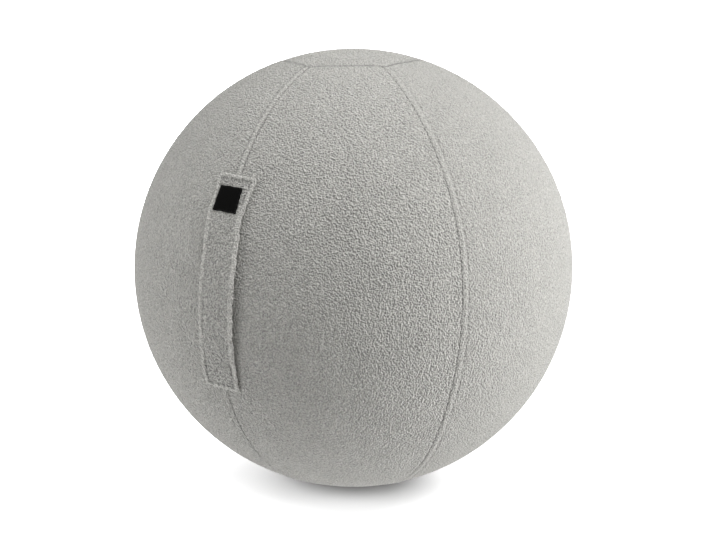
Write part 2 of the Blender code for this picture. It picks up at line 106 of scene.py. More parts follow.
# %% [markdown]
# ## Node trees as Python expressions
#
# Materials and Geometry Nodes are both trees of nodes. Clicking them together is fine for a few, but
# a formula is easier to read as a formula. `Socket` wraps one output of a node, and Python's
# operators on it add Math nodes, so `1 - mask` is a node. `Tree.node` adds any other node: its
# settings first, then the values or links of its sockets.


# %% The socket class
def maths(operation, reflected=False):
    """One of Python's operators, as a method that adds a Math node."""

    def method(self, value):
        return self.math(operation, *((value, self) if reflected else (self, value)))

    return method


class Socket:
    """One output of a node. Arithmetic on it adds Math nodes to its tree."""

    __add__ = __radd__ = maths("ADD")
    __sub__, __rsub__ = maths("SUBTRACT"), maths("SUBTRACT", True)
    __mul__ = __rmul__ = maths("MULTIPLY")
    __truediv__, __rtruediv__ = maths("DIVIDE"), maths("DIVIDE", True)
    at_least, at_most = maths("MAXIMUM"), maths("MINIMUM")

    def __init__(self, tree, source):
        self.tree, self.source = tree, source

    def __getitem__(self, name):
        """Another output of the same node."""
        return Socket(self.tree, self.source.node.outputs[name])

    def math(self, operation, *values, clamp=False):
        inputs = dict(enumerate(values))
        return self.tree.node("ShaderNodeMath", inputs, operation=operation, use_clamp=clamp)

    def clamped(self):
        return self.math("ADD", self, 0.0, clamp=True)

    def sine(self):
        return self.math("SINE", self)

    def bell(self, middle, width):
        """1 at the middle, falling off on both sides over a width."""
        off = (self - middle) / width
        fall = off * off * -1.0
        return fall.math("EXPONENT", fall)

    def stretched(self, contrast):
        """The same value from 0 to 1 with more or less contrast round 0.5."""
        return ((self - 0.5) * contrast + 0.5).clamped()


# %% The tree class
class Tree:
    """A node tree of a material or of Geometry Nodes, filled from Python."""

    def __init__(self, group):
        self.group = group

    def node(self, kind, inputs=None, output=None, **settings):
        """A new node. Its settings are set first, then the values or links of its sockets."""
        made = self.group.nodes.new(kind)
        for name, value in settings.items():
            setattr(made, name, value)
        for key, value in (inputs or {}).items():
            if isinstance(key, int):
                socket = made.inputs[key]
            else:
                socket = next(s for s in made.inputs if s.name == key and s.enabled)
            if isinstance(value, Socket):
                self.group.links.new(value.source, socket)
            else:
                socket.default_value = value
        shown = [s for s in made.outputs if s.enabled]
        source = next((s for s in shown if s.name == output), shown[0] if shown else None)
        return Socket(self, source)

    def vector(self, operation, *values, scale=None):
        inputs = dict(enumerate(values))
        if scale is not None:
            inputs["Scale"] = scale
        return self.node("ShaderNodeVectorMath", inputs, operation=operation)

    def noise(self, place, scale, detail=0.0, output=None):
        inputs = {"Vector": place, "Scale": scale, "Detail": detail}
        return self.node("ShaderNodeTexNoise", inputs, output)

    def mix(self, factor, first, second):
        inputs = {"Factor": factor, "A": first, "B": second}
        return self.node("ShaderNodeMix", inputs, data_type="RGBA")

    def bump(self, strength, distance, height):
        inputs = {"Strength": strength, "Distance": distance, "Height": height}
        return self.node("ShaderNodeBump", inputs)

    def attribute(self, key, output="Fac"):
        return self.node("ShaderNodeAttribute", output=output, attribute_name=key)


# %% Greys
CAST = 0.015, 0.070  # how much weaker green and blue are in a warm grey


def grey(value, warm=1.0):
    """A neutral colour with a slightly warm cast."""
    return (value, value * (1 - CAST[0] * warm), value * (1 - CAST[1] * warm), 1.0)


print("a warm grey:", [round(x, 3) for x in grey(0.5)])

# %% [markdown]
# ## The fleece
#
# Each finish is one Principled shader. Values that are even all over sit on its own sockets. What
# changes over the surface goes only into colour, roughness and a bump.
#
# The pile of teddy fleece is crimped into short curls, a few millimetres from one to the next.
# `curls` is a noise, bent by another so that its blobs become strokes. The same function later moves
# the points of the cloth in Geometry Nodes, so the finish and the shape agree: the colour is darker
# where the pile is low, partly as painted shade in its crevices and partly as the cloth's own grain.
# `cloth` is where a point lay before it was moved, and `calm` is how far it is combed smooth. Another
# number kept on the points holds the painted shade in seams, creases and round the caps, less the
# painted highlight on ridges and on the strap's rims, and adds the darker tone of a combed gore. A
# finer noise adds the single fibres.

# %% Curls, and a helper for finishes
CURL_SIZE, CURL_DEPTH = 0.0024, 0.0019
CURL_BEND, BEND_SCALE = 0.8, 0.7  # in curls, and in waves to a curl
CONTRAST = 2.3


def curls(tree, place, size):
    """How high the pile stands, from 0 in a crevice to 1 on the tip of a curl."""
    wobble = tree.noise(place, BEND_SCALE / size, 0.0, "Color")
    bend = tree.vector("SUBTRACT", wobble, (0.5, 0.5, 0.5))
    bent = tree.vector("ADD", place, tree.vector("SCALE", bend, scale=size * CURL_BEND))
    return tree.noise(bent, 1.0 / size, 0.5).stretched(CONTRAST)


def finish(name, **even):
    made = bpy.data.materials.new(name)
    made.use_nodes = True
    shader = made.node_tree.nodes["Principled BSDF"]
    for socket, value in even.items():
        shader.inputs[socket.replace("_", " ")].default_value = value
    tree = Tree(made.node_tree)

    def feed(socket, value):
        tree.group.links.new(value.source, shader.inputs[socket])

    return made, tree, feed


# %% The fleece
FIBRES, FUZZ, MOTTLE = 470.0, 3600.0, 30.0  # to a metre
# The curls and fibres darken the colour where the pile is low, partly as painted shade in its crevices
# and partly as the cloth's own grain; the mottle is its own tone.
CURL_SHARE, FIBRE_SHARE, MOTTLE_SHARE = 0.30, 0.70, 0.15  # in the colour
CURL_RELIEF, FIBRE_RELIEF, FUZZ_RELIEF = 0.5, 0.8, 0.16  # in the bump
# How far the painted shade and highlight of seams, creases and the strap, and a combed gore's darker
# tone, pull the colour.
SHADE_AND_TONE_WEIGHT = 0.7


def fleece_finish(name, crevice, tip):
    even = {"Roughness": 0.95, "Sheen_Weight": 0.22, "Sheen_Roughness": 0.45}
    made, tree, feed = finish(name, **even, Specular_IOR_Level=0.15)
    cloth, worn = tree.attribute("cloth", "Vector"), tree.attribute("worn")
    rough = 1 - tree.attribute("calm")
    curl = curls(tree, cloth, CURL_SIZE).stretched(rough)
    fibre = tree.noise(cloth, FIBRES, 0.5).stretched(rough * CONTRAST)
    fuzz = tree.noise(cloth, FUZZ, 2.0)
    mottle = tree.noise(cloth, MOTTLE, 1.0)
    shade_and_grain = (curl - 0.5) * CURL_SHARE + (fibre - 0.5) * FIBRE_SHARE + (mottle - 0.5) * MOTTLE_SHARE
    # Base colour: painted shade in the crevices of the pile and in seams and creases, painted highlight
    # on ridges and strap rims.
    feed("Base Color", tree.mix((shade_and_grain + 0.5 - worn * SHADE_AND_TONE_WEIGHT).clamped(), crevice, tip))
    height = curl * CURL_RELIEF + fibre * FIBRE_RELIEF + fuzz * FUZZ_RELIEF
    feed("Normal", tree.bump(1.0, CURL_DEPTH, height))
    return made


FLEECE = fleece_finish("fleece", grey(0.280), grey(0.628))
STRAP_FLEECE = fleece_finish("strap_fleece", grey(0.27), grey(0.71))
print("nodes in the fleece:", len(FLEECE.node_tree.nodes))

# %% [markdown]
# ## Thread, woven tape, plastic and metal
#
# A woven band is two families of yarns that pass over and under each other. A product of two sine
# waves gives that checker of raised yarns, and it drives both a small bump and a change of colour.
# Moulded, cast and spun surfaces need less: one fine noise in colour, gloss and relief.

# %% Woven and speckled finishes
YARN_FUZZ, YARN_RELIEF = 2600.0, 0.00025
WEAVE_SHARE, FUZZ_SHARE, FUZZ_GLOSS = 0.7, 0.3, 0.2  # in the colour, and in the roughness
WEAVE_BUMP, FUZZ_BUMP = 0.6, 0.4
GRAIN_GLOSS, GRAIN_RELIEF = 0.25, 0.0002


def object_place(tree):
    return tree.node("ShaderNodeTexCoord", output="Object")


def woven_finish(name, dark, light, yarns, roughness, sheen=0.1):
    """A plain weave with this many yarns in a metre, along the cloth's own edges."""
    made, tree, feed = finish(name, Sheen_Weight=sheen, Specular_IOR_Level=0.04 + sheen)
    warp = (tree.attribute("across") * (yarns * pi)).sine()
    weft = (tree.attribute("along") * (yarns * pi)).sine()
    over = warp * weft * 0.5 + 0.5
    fuzz = tree.noise(object_place(tree), YARN_FUZZ, 2.0)
    feed("Base Color", tree.mix((over * WEAVE_SHARE + fuzz * FUZZ_SHARE).clamped(), dark, light))
    feed("Roughness", fuzz * FUZZ_GLOSS + (roughness - FUZZ_GLOSS / 2))
    feed("Normal", tree.bump(WEAVE_BUMP, YARN_RELIEF, over + fuzz * FUZZ_BUMP))
    return made


def speckled_finish(name, dark, light, scale, roughness, bump=0.2, metallic=0.0):
    """A moulded, cast or spun surface: fine noise in its colour, gloss and relief."""
    made, tree, feed = finish(name, Metallic=metallic)
    grain = tree.noise(object_place(tree), scale, 3.0)
    feed("Base Color", tree.mix(grain, dark, light))
    feed("Roughness", (grain - 0.5) * GRAIN_GLOSS + roughness)
    feed("Normal", tree.bump(bump, GRAIN_RELIEF, grain))
    return made


# %% Cloths, threads, plastics and metal
BLACK_YARNS = grey(0.002, 0.5), grey(0.007, 0.5)
LABEL_CLOTH = woven_finish("label_cloth", *BLACK_YARNS, 2600, 0.85, sheen=0.0)
TAPE_CLOTH = woven_finish("tape_cloth", grey(0.26), grey(0.46), 1500, 0.85)
WEBBING_CLOTH = woven_finish("webbing_cloth", grey(0.20), grey(0.38), 700, 0.85)
THREAD = speckled_finish("thread", grey(0.34), grey(0.48), 2200.0, 0.80, 0.5)
STRAP_THREAD = speckled_finish("strap_thread", grey(0.36), grey(0.50), 2200.0, 0.85, 0.5)
LABEL_THREAD = speckled_finish("label_thread", grey(0.006), grey(0.030), 2200.0, 0.70, 0.5)
TOOTH_PLASTIC = speckled_finish("tooth_plastic", grey(0.29), grey(0.37), 900.0, 0.42)
PLATED = speckled_finish("plated_metal", grey(0.42, 0.2), grey(0.58, 0.2), 700.0, 0.34, 0.12, 1.0)
PVC = speckled_finish("soft_pvc", grey(0.17, 0), grey(0.23, 0), 420.0, 0.46)
PLUG_PLASTIC = speckled_finish("plug_plastic", grey(0.70, 0.3), grey(0.80, 0.3), 600.0, 0.40)
print("finishes:", len(bpy.data.materials))

# %% [markdown]
# ## Where the seams run
#
# Six gores meet on six seams, 60 degrees apart. Two long curved edges are fed through the machine by
# hand, so a real seam strays a few millimetres from its meridian. A slow wave for each seam does that,
# and the caps are a little rounder than a true hexagon and not quite centred. Both neighbours of a
# seam read the same function, so they always meet.

# %% Seams, cap edges and the zip's opening
GORES = 6
GORE_ANGLE = 2 * pi / GORES
ZIP_SEAM = 3
SEAM_STRAY = [  # how far, where its middle is, over what length, and how far to one side
    (0.0045, 76, 120, 0.0036),
    (0.0042, 72, 98, -0.0012),
    (0.0030, 64, 110, 0.0005),
    (0.0, 90, 100, 0.0),
    (0.0032, 96, 120, -0.0004),
    (0.0028, 70, 104, 0.0006),
]
SEAM_RAGGED = 0.00045
SEAM_GAP = 0.00004
CAP_CORNER = radians(18.4)
CAP_BOW = radians(0.8)  # how far a cap's edges bow outwards
CAP_SHIFT, CAP_SHIFT_TOWARDS = radians(0.9), radians(-15)
SLOT_ENDS = radians(107.23), radians(150.69)
SLOT_HALF = 0.0056
SLOT_TAPER = radians(0.5)


def seam_stray(seam, polar):
    far, middle, length, aside = SEAM_STRAY[seam % GORES]
    slow = far * np.cos((polar - radians(middle)) * 2 * pi / radians(length)) + aside
    return slow + SEAM_RAGGED * (np.sin(polar * 410 + seam) + np.sin(polar * 233 + 2 * seam))


def zip_slot(polar):
    """Half the width of the opening in the rear seam."""
    start = np.clip((polar - SLOT_ENDS[0]) / SLOT_TAPER, 0, 1)
    end = np.clip((SLOT_ENDS[1] - polar) / SLOT_TAPER, 0, 1)
    return SLOT_HALF * np.sin(pi / 2 * start) * np.sin(pi / 2 * end)


def cap_edge(azimuth, top):
    """The angle from the pole to the edge of a cap."""
    off = np.mod(azimuth, GORE_ANGLE) - GORE_ANGLE / 2
    edge = np.arctan(tan(CAP_CORNER) * cos(GORE_ANGLE / 2) / np.cos(off))
    edge = edge + CAP_BOW * np.cos(off * pi / GORE_ANGLE) ** 2
    return edge + (CAP_SHIFT * np.cos(azimuth - CAP_SHIFT_TOWARDS) if top else 0)


print("the zip's opening is", round((SLOT_ENDS[1] - SLOT_ENDS[0]) * RADIUS, 3), "m long")

# %% [markdown]
# ## Panels as rows of points
#
# The pile needs small, even triangles all over. A plain grid on a gore would bunch up at both ends,
# where the gore is narrow. So every row gets as many points as its own length needs, and a zipper
# walk joins each row to the next: it always steps along the row whose next point comes first. All six
# gores share one set of rows.

# %% Rows, the zipper walk and plain meshes
CELL = 0.00162
ROW = CELL * sqrt(3) / 2


def zipper(first, second, first_at, second_at):
    """Triangles between two rows of places from 0 to 1, given each row's first point number."""
    faces, i, j = [], 0, 0
    first_end, second_end = len(first) - 1, len(second) - 1
    while i < first_end or j < second_end:
        if j == second_end or (i < first_end and first[i + 1] <= second[j + 1]):
            faces.append((first_at + i, second_at + j, first_at + i + 1))
            i += 1
        else:
            faces.append((first_at + i, second_at + j, second_at + j + 1))
            j += 1
    return faces


def gore_rows():
    count = round((pi - 2 * CAP_CORNER) * RADIUS / ROW)
    rows = []
    for row in range(count + 1):
        polar = CAP_CORNER + (pi - 2 * CAP_CORNER) * row / count
        cells = max(2, round(GORE_ANGLE * RADIUS * sin(polar) / CELL))
        places = np.arange(cells + 1) / cells
        if row % 2:
            places = np.concatenate(([0.0], (np.arange(cells) + 0.5) / cells, [1.0]))
        rows.append(places)
    return rows


def plain_mesh(name, points, faces, **numbers):
    """A mesh from arrays of points and faces, with numbers kept on its points."""
    points, faces = np.asarray(points, np.float32), np.asarray(faces, np.int32)
    mesh = bpy.data.meshes.new(name)
    mesh.vertices.add(len(points))
    mesh.vertices.foreach_set("co", points.ravel())
    mesh.loops.add(faces.size)
    mesh.loops.foreach_set("vertex_index", faces.ravel())
    mesh.polygons.add(len(faces))
    starts = np.arange(0, faces.size, faces.shape[1], dtype=np.int32)
    mesh.polygons.foreach_set("loop_start", starts)
    mesh.update(calc_edges=True)
    mesh.shade_smooth()
    for key, values in numbers.items():
        kept = mesh.attributes.new(key, "FLOAT", "POINT")
        kept.data.foreach_set("value", np.broadcast_to(values, len(points)).astype(np.float32))
    return mesh


ROWS = gore_rows()
ROW_STARTS = np.concatenate(([0], np.cumsum([len(row) for row in ROWS])))
GORE_FACES = []
for index in range(len(ROWS) - 1):
    GORE_FACES += zipper(ROWS[index], ROWS[index + 1], ROW_STARTS[index], ROW_STARTS[index + 1])
print("points in a gore:", ROW_STARTS[-1], "triangles:", len(GORE_FACES))

# %% [markdown]
# ## A gore
#
# Each point of a gore keeps its distance from the nearest side seam (`seam`) and from the nearest cap
# (`cap`). The growth of the pile reads these to sink the cloth into its seams. Round the outline a
# narrow rim turns in towards the ball, as the seam allowance does, so no edge of a panel is left open
# to view.

# %% A panel and its rim
# The finish paints the rim in shade, and the pile doesn't grow there.
ON_RIM = {"rim": 1.0, "wear": 1.0}  # other numbers are 0 there


def panel(name, points, faces, outline, rim_radius, **numbers):
    """A mesh with a rim that runs from its outline towards the ball."""
    away = points[outline] - MIDDLE
    rim = MIDDLE + away * (rim_radius / np.linalg.norm(away, axis=1))[:, None]
    inner = len(points) + np.arange(len(outline))
    after, inner_after = np.roll(outline, -1), np.roll(inner, -1)
    sides = [np.stack([outline, inner, inner_after], 1), np.stack([outline, inner_after, after], 1)]
    numbers["rim"] = np.zeros(len(points))
    for key, values in numbers.items():
        if np.ndim(values):
            on_rim = np.full(len(outline), ON_RIM.get(key, 0.0))
            numbers[key] = np.concatenate([values, on_rim])
    points, faces = np.concatenate([points, rim]), np.concatenate([faces, *sides])
    return plain_mesh(name, points, faces, **numbers)


# %% Gores
COVER_INNER = RADIUS - 0.0048
SLOT_RIM = RADIUS - 0.0021  # at the zip the rim stops above the tape
OPEN_HEM = 0.4  # the part of the slot's full width from which the rim stops there
INSIDE = 1e-6  # keeps an angle on its own side of a seam
# How strongly a seam shows: its patchiness, its calmer ridge, and the painted shade and highlight along
# it.
SEAM_STRENGTH_AT, SEAM_STRENGTH = (60, 105), (2.3, 0.4)  # the front seam shows more above the strap than below it


def gore_mesh(number):
    low, high = (number - 1) * GORE_ANGLE, number * GORE_ANGLE
    row = np.concatenate([np.full(len(r), i) for i, r in enumerate(ROWS)]) / (len(ROWS) - 1)
    place = np.concatenate(ROWS)

    def polar_at(azimuth):
        top, bottom = cap_edge(azimuth, True), pi - cap_edge(azimuth, False)
        return top + row * (bottom - top)

    sides = []
    for seam, azimuth, inwards in ((number - 1, low, 1), (number, high, -1)):
        polar = polar_at(azimuth + inwards * INSIDE)
        slot = zip_slot(polar) if seam == ZIP_SEAM else 0 * polar
        aside = seam_stray(seam, polar) + inwards * (SEAM_GAP + slot)
        sides.append((azimuth + aside / (RADIUS * np.sin(polar)), slot))
    (left, left_slot), (right, right_slot) = sides
    azimuth = left + place * (right - left)
    polar = polar_at(np.clip(azimuth, low + INSIDE, high - INSIDE))
    arc = RADIUS * np.sin(polar)
    from_left, from_right = arc * (azimuth - left), arc * (right - azimuth)
    seam = np.minimum(from_left, from_right)
    hem = np.where(from_left < from_right, left_slot, right_slot) / SLOT_HALF
    below, above = polar - cap_edge(azimuth, True), pi - cap_edge(azimuth, False) - polar
    cap = np.maximum(RADIUS * np.minimum(below, above), 0)
    front = np.where(from_left < from_right, number - 1, number) % GORES == 0
    wear = np.where(front, np.interp(np.degrees(polar), SEAM_STRENGTH_AT, SEAM_STRENGTH), 1.0)

    starts, ends = ROW_STARTS[:-1], ROW_STARTS[1:] - 1
    first, last = np.arange(starts[0], ends[0] + 1), np.arange(starts[-1], ends[-1] + 1)
    outline = np.concatenate([first[::-1], starts[1:], last[1:], ends[-2:0:-1]])
    rim_radius = np.where(hem[outline] > OPEN_HEM, SLOT_RIM, COVER_INNER)
    points = on_ball(polar, azimuth, RADIUS)
    numbers = {"seam": seam, "cap": cap, "hem": hem, "wear": wear}
    return panel(f"fleece_gore_{number}", points, GORE_FACES, outline, rim_radius, **numbers)


# %% [markdown]
# ## A cap
#
# A cap is made of rings round its pole, each with one more point in every sixth than the ring inside
# it, so its triangles are as even as those of a gore.

# %% Caps
FAR = 1.0  # a piece without side seams says that they are this far away


def cap_mesh(name, top):
    rings = round(CAP_CORNER * RADIUS / CELL)
    polar, azimuth, faces, starts = [0.0], [0.0], [], [0]
    for ring in range(1, rings + 1):
        starts.append(len(polar))
        around = np.arange(GORES * ring) / (GORES * ring) * 2 * pi
        polar += list(cap_edge(around, top) * ring / rings)
        azimuth += list(around)
        for sector in range(GORES):
            for step in range(ring):
                pair = np.array([step, step + 1])
                outer = starts[ring] + (sector * ring + pair) % (GORES * ring)
                turn = (sector * (ring - 1) + pair) % max(1, GORES * (ring - 1))
                inner = starts[ring - 1] + turn
                faces.append((inner[0], outer[0], outer[1]))
                if step < ring - 1:
                    faces.append((inner[0], outer[1], inner[1]))
    polar, azimuth, faces = np.array(polar), np.array(azimuth), np.array(faces)
    cap = np.maximum(RADIUS * (cap_edge(azimuth, top) - polar), 0)
    outline = np.arange(starts[-1], len(polar))
    if top:
        outline = outline[::-1]
    else:
        faces, polar = faces[:, ::-1], pi - polar
    points = on_ball(polar, azimuth, RADIUS)
    return panel(name, points, faces, outline, COVER_INNER, seam=FAR, cap=cap, hem=0.0)


print("rings in a cap:", round(CAP_CORNER * RADIUS / CELL))

# %% [markdown]
# ## Geometry Nodes from a script
#
# A tree needs named inputs for its sizes, and an end that makes instances real and sets a material,
# because only plain meshes are exported. `grown` runs a tree on a mesh or curve and keeps what it
# made as a plain mesh.


# %% Helpers for Geometry Nodes
def geometry_tree(name, **inputs):
    group = bpy.data.node_groups.new(name, "GeometryNodeTree")
    face = group.interface
    face.new_socket("Geometry", in_out="OUTPUT", socket_type="NodeSocketGeometry")
    face.new_socket("Geometry", in_out="INPUT", socket_type="NodeSocketGeometry")
    for key, kind in inputs.items():
        face.new_socket(key.replace("_", " "), in_out="INPUT", socket_type=f"NodeSocket{kind}")
    tree = Tree(group)
    return tree, tree.node("NodeGroupInput")


def named(tree, key):
    return tree.node("GeometryNodeInputNamedAttribute", {"Name": key}, data_type="FLOAT")


def kept_on(tree, geometry, key, value, kind="FLOAT"):
    inputs = {"Geometry": geometry, "Name": key, "Value": value}
    return tree.node("GeometryNodeStoreNamedAttribute", inputs, data_type=kind)


def ending(tree, geometry, material):
    real = tree.node("GeometryNodeRealizeInstances", {"Geometry": geometry})
    dressed = tree.node("GeometryNodeSetMaterial", {"Geometry": real, "Material": material})
    tree.node("NodeGroupOutput", {"Geometry": dressed})
    return tree.group


def grown(name, source, group, **values):
    """Runs a tree on a mesh or curve and returns an object with the plain mesh that it made."""
    carrier = link(bpy.data.objects.new(name + "_source", source))
    modifier = carrier.modifiers.new(group.name, "NODES")
    modifier.node_group = group
    for socket in group.interface.items_tree:
        key = socket.name.replace(" ", "_")
        if socket.item_type == "SOCKET" and socket.in_out == "INPUT" and key in values:
            modifier[socket.identifier] = values[key]
    evaluated = carrier.evaluated_get(bpy.context.evaluated_depsgraph_get())
    mesh = bpy.data.meshes.new_from_object(evaluated)
    mesh.name = name
    bpy.data.objects.remove(carrier)
    return link(bpy.data.objects.new(name, mesh))


def placed(piece, node=None, body="ball"):
    """Tells the frame which body a piece rides on, which node it replaces."""
    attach(piece, body)
    if node:
        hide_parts(node)
    return piece


# %% [markdown]
# ## Growing the pile
#
# Teddy fleece is a knit whose pile is crimped into small curls. Hair would be the plain way to make
# it, but millions of hairs don't export. So the curls are real relief: the points of a panel sink by
# the same noise that the finish reads. The same tree sinks each panel into its seams and, on the gores
# whose edge lies on top, raises a ridge with a groove for a row of stitches behind it. A patchy noise
# lets the pile close over a seam here and there, as it does on the real cover.

# %% The pile tree
TOP_STITCH = 0.0100  # from a seam to the row of stitches beside it
SEAM_DITCH, CAP_DITCH = 0.0011, 0.0022  # how wide the valley is at a seam and round a cap
HEM_SHALLOW = 0.55
RIDGE_AT, RIDGE_WIDTH, RIDGE_HEIGHT = 0.0048, 0.0028, 0.0006
RIDGE_BELOW = 0.5  # the part of a ridge on the edge that lies below
GROOVE_WIDTH, GROOVE_DEPTH = 0.0014, 0.0010
DITCH_PRESSED, GROOVE_PRESSED, CALM_PRESSED = 0.7, 0.6, 0.7  # how much of the pile is lost there
CALM_AT, CALM_WIDTH = 0.0045, 0.0040
PATCHES = 190.0  # to a metre
PATCHY_LOW, PATCHY_HIGH = 0.08, 1.5
PATCHY = -2.6, 7.5  # this and the next four: how much by seam strength, and how much without it
CALM_RIDGE = 0.12, -0.04
# Painted shade in a seam's ditch and its stitch groove, and painted highlight on its ridge.
DARK_SEAM = 0.15, -0.01
DARK_GROOVE = 0.25, -0.075
PALE_RIDGE = 0.17, -0.09
COMBED_GREY = 0.45


def pile_tree():
    sizes = dict.fromkeys(("Curl_size", "Pile", "Ditch", "Ridge", "Combed", "Floor"), "Float")
    tree, given = geometry_tree("curly_pile", **sizes, Finish="Material")
    place = tree.node("GeometryNodeInputPosition")
    curl = curls(tree, place, given["Curl size"])
    keys = ("seam", "cap", "hem", "rim", "pale", "wear")
    seam, cap, hem, rim, pale, wear = (named(tree, key) for key in keys)

    def by_seam_strength(more, base):
        return wear * more + base

    over = given["Ridge"].at_least(hem)
    patchy = (tree.noise(place, PATCHES, 2.0) - 0.5) * by_seam_strength(*PATCHY) + 1.0
    uneven = patchy.at_most(PATCHY_HIGH).at_least(PATCHY_LOW)
    side_ditch = seam.bell(0.0, SEAM_DITCH) * (1 - hem * HEM_SHALLOW) * uneven
    cap_ditch = cap.bell(0.0, CAP_DITCH)
    ditch = side_ditch.at_least(cap_ditch)
    ridge = seam.bell(RIDGE_AT, RIDGE_WIDTH) * (over * (1 - RIDGE_BELOW) + RIDGE_BELOW) * uneven
    groove = seam.bell(TOP_STITCH, GROOVE_WIDTH) * over * uneven
    pressed = (ditch * DITCH_PRESSED + groove * GROOVE_PRESSED).clamped()
    combed = given["Combed"]
    calm = seam.bell(CALM_AT, CALM_WIDTH) * over * by_seam_strength(*CALM_RIDGE) + combed
    # Painted shade in the seam ditches, stitch grooves, round the caps and on the inturned rims, less
    # painted highlight on the ridges and the strap's own painted light; a combed gore adds its darker
    # tone.
    shown = side_ditch * by_seam_strength(*DARK_SEAM) + groove * by_seam_strength(*DARK_GROOVE)
    worn = (shown + cap_ditch + rim).clamped() + combed * COMBED_GREY
    worn = worn - pale - ridge * by_seam_strength(*PALE_RIDGE)

    kept = kept_on(tree, given, "cloth", place, "FLOAT_VECTOR")
    kept = kept_on(tree, kept, "worn", worn)
    kept = kept_on(tree, kept, "calm", calm.clamped())
    pile = (curl - 1.0) * given["Pile"] * (1 - pressed) * (1 - calm * CALM_PRESSED)
    height = pile + ridge * RIDGE_HEIGHT - groove * GROOVE_DEPTH
    height = (height - (ditch + cap_ditch) * given["Ditch"]) * (1 - rim)
    offset = tree.vector("SCALE", tree.node("GeometryNodeInputNormal"), scale=height)
    moved = tree.node("GeometryNodeSetPosition", {"Geometry": kept, "Offset": offset})
    now = tree.node("GeometryNodeInputPosition")
    x = tree.node("ShaderNodeSeparateXYZ", {"Vector": now})
    z = x["Z"].at_least(given["Floor"])
    flat = tree.node("ShaderNodeCombineXYZ", {"X": x, "Y": x["Y"], "Z": z})
    rested = tree.node("GeometryNodeSetPosition", {"Geometry": moved, "Position": flat})
    return ending(tree, rested, given["Finish"])


PILE_TREE = pile_tree()
print("nodes in the pile tree:", len(PILE_TREE.nodes))

# %% [markdown]
# ## The cover
#
# Every second gore lies over its neighbours and gets the ridge. Flat sizes are those of the cut
# cloth: a gore is a sixth of the ball's girth wide and as long as the meridian between the caps.

# %% Gores and caps, grown and placed
PILE, DITCH = 0.0008, 0.0005
FLOOR_LINE = 0.0002  # the pile is pressed flat here, just above the floor
COMBED = {2: 0.25}  # this gore was cut from a smoother part of the cloth
fleece = {"Curl_size": CURL_SIZE, "Pile": PILE, "Ditch": DITCH, "Floor": FLOOR_LINE, "Finish": FLEECE}

for number in range(1, GORES + 1):
    cut = {"Ridge": float(number % 2 == 0), "Combed": COMBED.get(number, 0.0)}
    gore = grown(f"fleece_gore_{number}", gore_mesh(number), PILE_TREE, **fleece, **cut)
    placed(gore, f"gore_{number}")
for node in ("top_cap", "base_cap"):
    name = "fleece_" + node
    cap = grown(name, cap_mesh(name, node == "top_cap"), PILE_TREE, **fleece, Ridge=0.0)
    placed(cap, node)
print("triangles in a gore:", len(gore.data.polygons), "in a cap:", len(cap.data.polygons))

# %% [markdown]
# ## The carrying strap: its line and section
#
# The strap is a strip of the same fleece, folded round a webbing and stitched along both edges, so
# its long sides puff up into soft rims. Each end is folded under, sewn down with a box of stitches,
# and spreads a little. Between them it stands off the ball, bows to one side and wavers. All of that
# is functions of the way along the strap, which its stitches, the label and the webbing read too.

# %% Strap: its line
STRAP_TOP = radians(57.3)
STRAP_LENGTH, STRAP_HALF, STRAP_THICKNESS = 0.2945, 0.0280, 0.0050
STRAP_SEWN, STRAP_SLACK, STRAP_SUNK = 0.040, 0.0026, 0.0001
TOP_SPREAD, FOOT_SPREAD = (0.0036, 0.035), (0.0012, 0.040)  # how much wider, and over what length
WAVERS = (0.0004, 170, 0), (0.0003, 391, 1)
BOW_TOP, BOW_FALL, BOW_OUT = 0.0042, 0.0079, 0.0052
DENT, DENT_AT, DENT_OVER = 0.0042, 0.2, 0.1
TOP_SKEW, FOOT_SKEW = 0.0030, 0.0028  # how far the ends run up on the left and down on the right
SKEW_OVER = 0.060
FOOT, FOOT_THIN = 0.070, 0.15  # over this length the lower end lies flatter


def hump(value, middle, width):
    return np.exp(-(((value - middle) / width) ** 2))


def strap_half(along):
    """Half the width, which spreads at the sewn ends and wavers a little."""
    ends = TOP_SPREAD[0] * np.exp(-along / TOP_SPREAD[1])
    ends = ends + FOOT_SPREAD[0] * np.exp((along - STRAP_LENGTH) / FOOT_SPREAD[1])
    half = STRAP_HALF + ends
    for far, rate, start in WAVERS:
        half = half + far * np.sin(along * rate + start)
    return half


def strap_middle(along):
    part = along / STRAP_LENGTH
    bow = BOW_TOP - BOW_FALL * part + BOW_OUT * np.sin(pi * part)
    return bow - DENT * hump(part, DENT_AT, DENT_OVER)


def strap_lift(along):
    free = (along - STRAP_SEWN) / (STRAP_LENGTH - 2 * STRAP_SEWN)
    return RADIUS - STRAP_SUNK + STRAP_SLACK * np.maximum(0, 4 * free * (1 - free))


def strap_foot(along):
    """1 at the strap's lower end, 0 above it."""
    return np.maximum(0.0, 1 - (STRAP_LENGTH - along) / FOOT)


def strap_thick(along):
    return STRAP_THICKNESS * (1 - FOOT_THIN * strap_foot(along))


def strap_skew(part, along):
    """How far a point moves up, by its part of the half width to the right."""
    top = TOP_SKEW * (1 - part) / 2 * np.maximum(0.0, 1 - along / SKEW_OVER)
    return top - FOOT_SKEW * (1 + part) / 2 * strap_foot(along)


print("strap width in its middle:", round(2 * strap_half(STRAP_LENGTH / 2), 4), "m")

# %% Strap: its section
STRAP_STITCH = 0.0072  # from the strap's edge to its line of stitches
BOX_LENGTH = 0.0385  # from the strap's end to the inner line of its box of stitches
BOX_SHALLOW = 0.6  # the inner line is drawn in less
RIM_PUFF, RIM_START, RIM_STEP = 0.0010, 0.0006, 0.0020
STITCH_DEPTH, STITCH_WIDTH = 0.0011, 0.0014


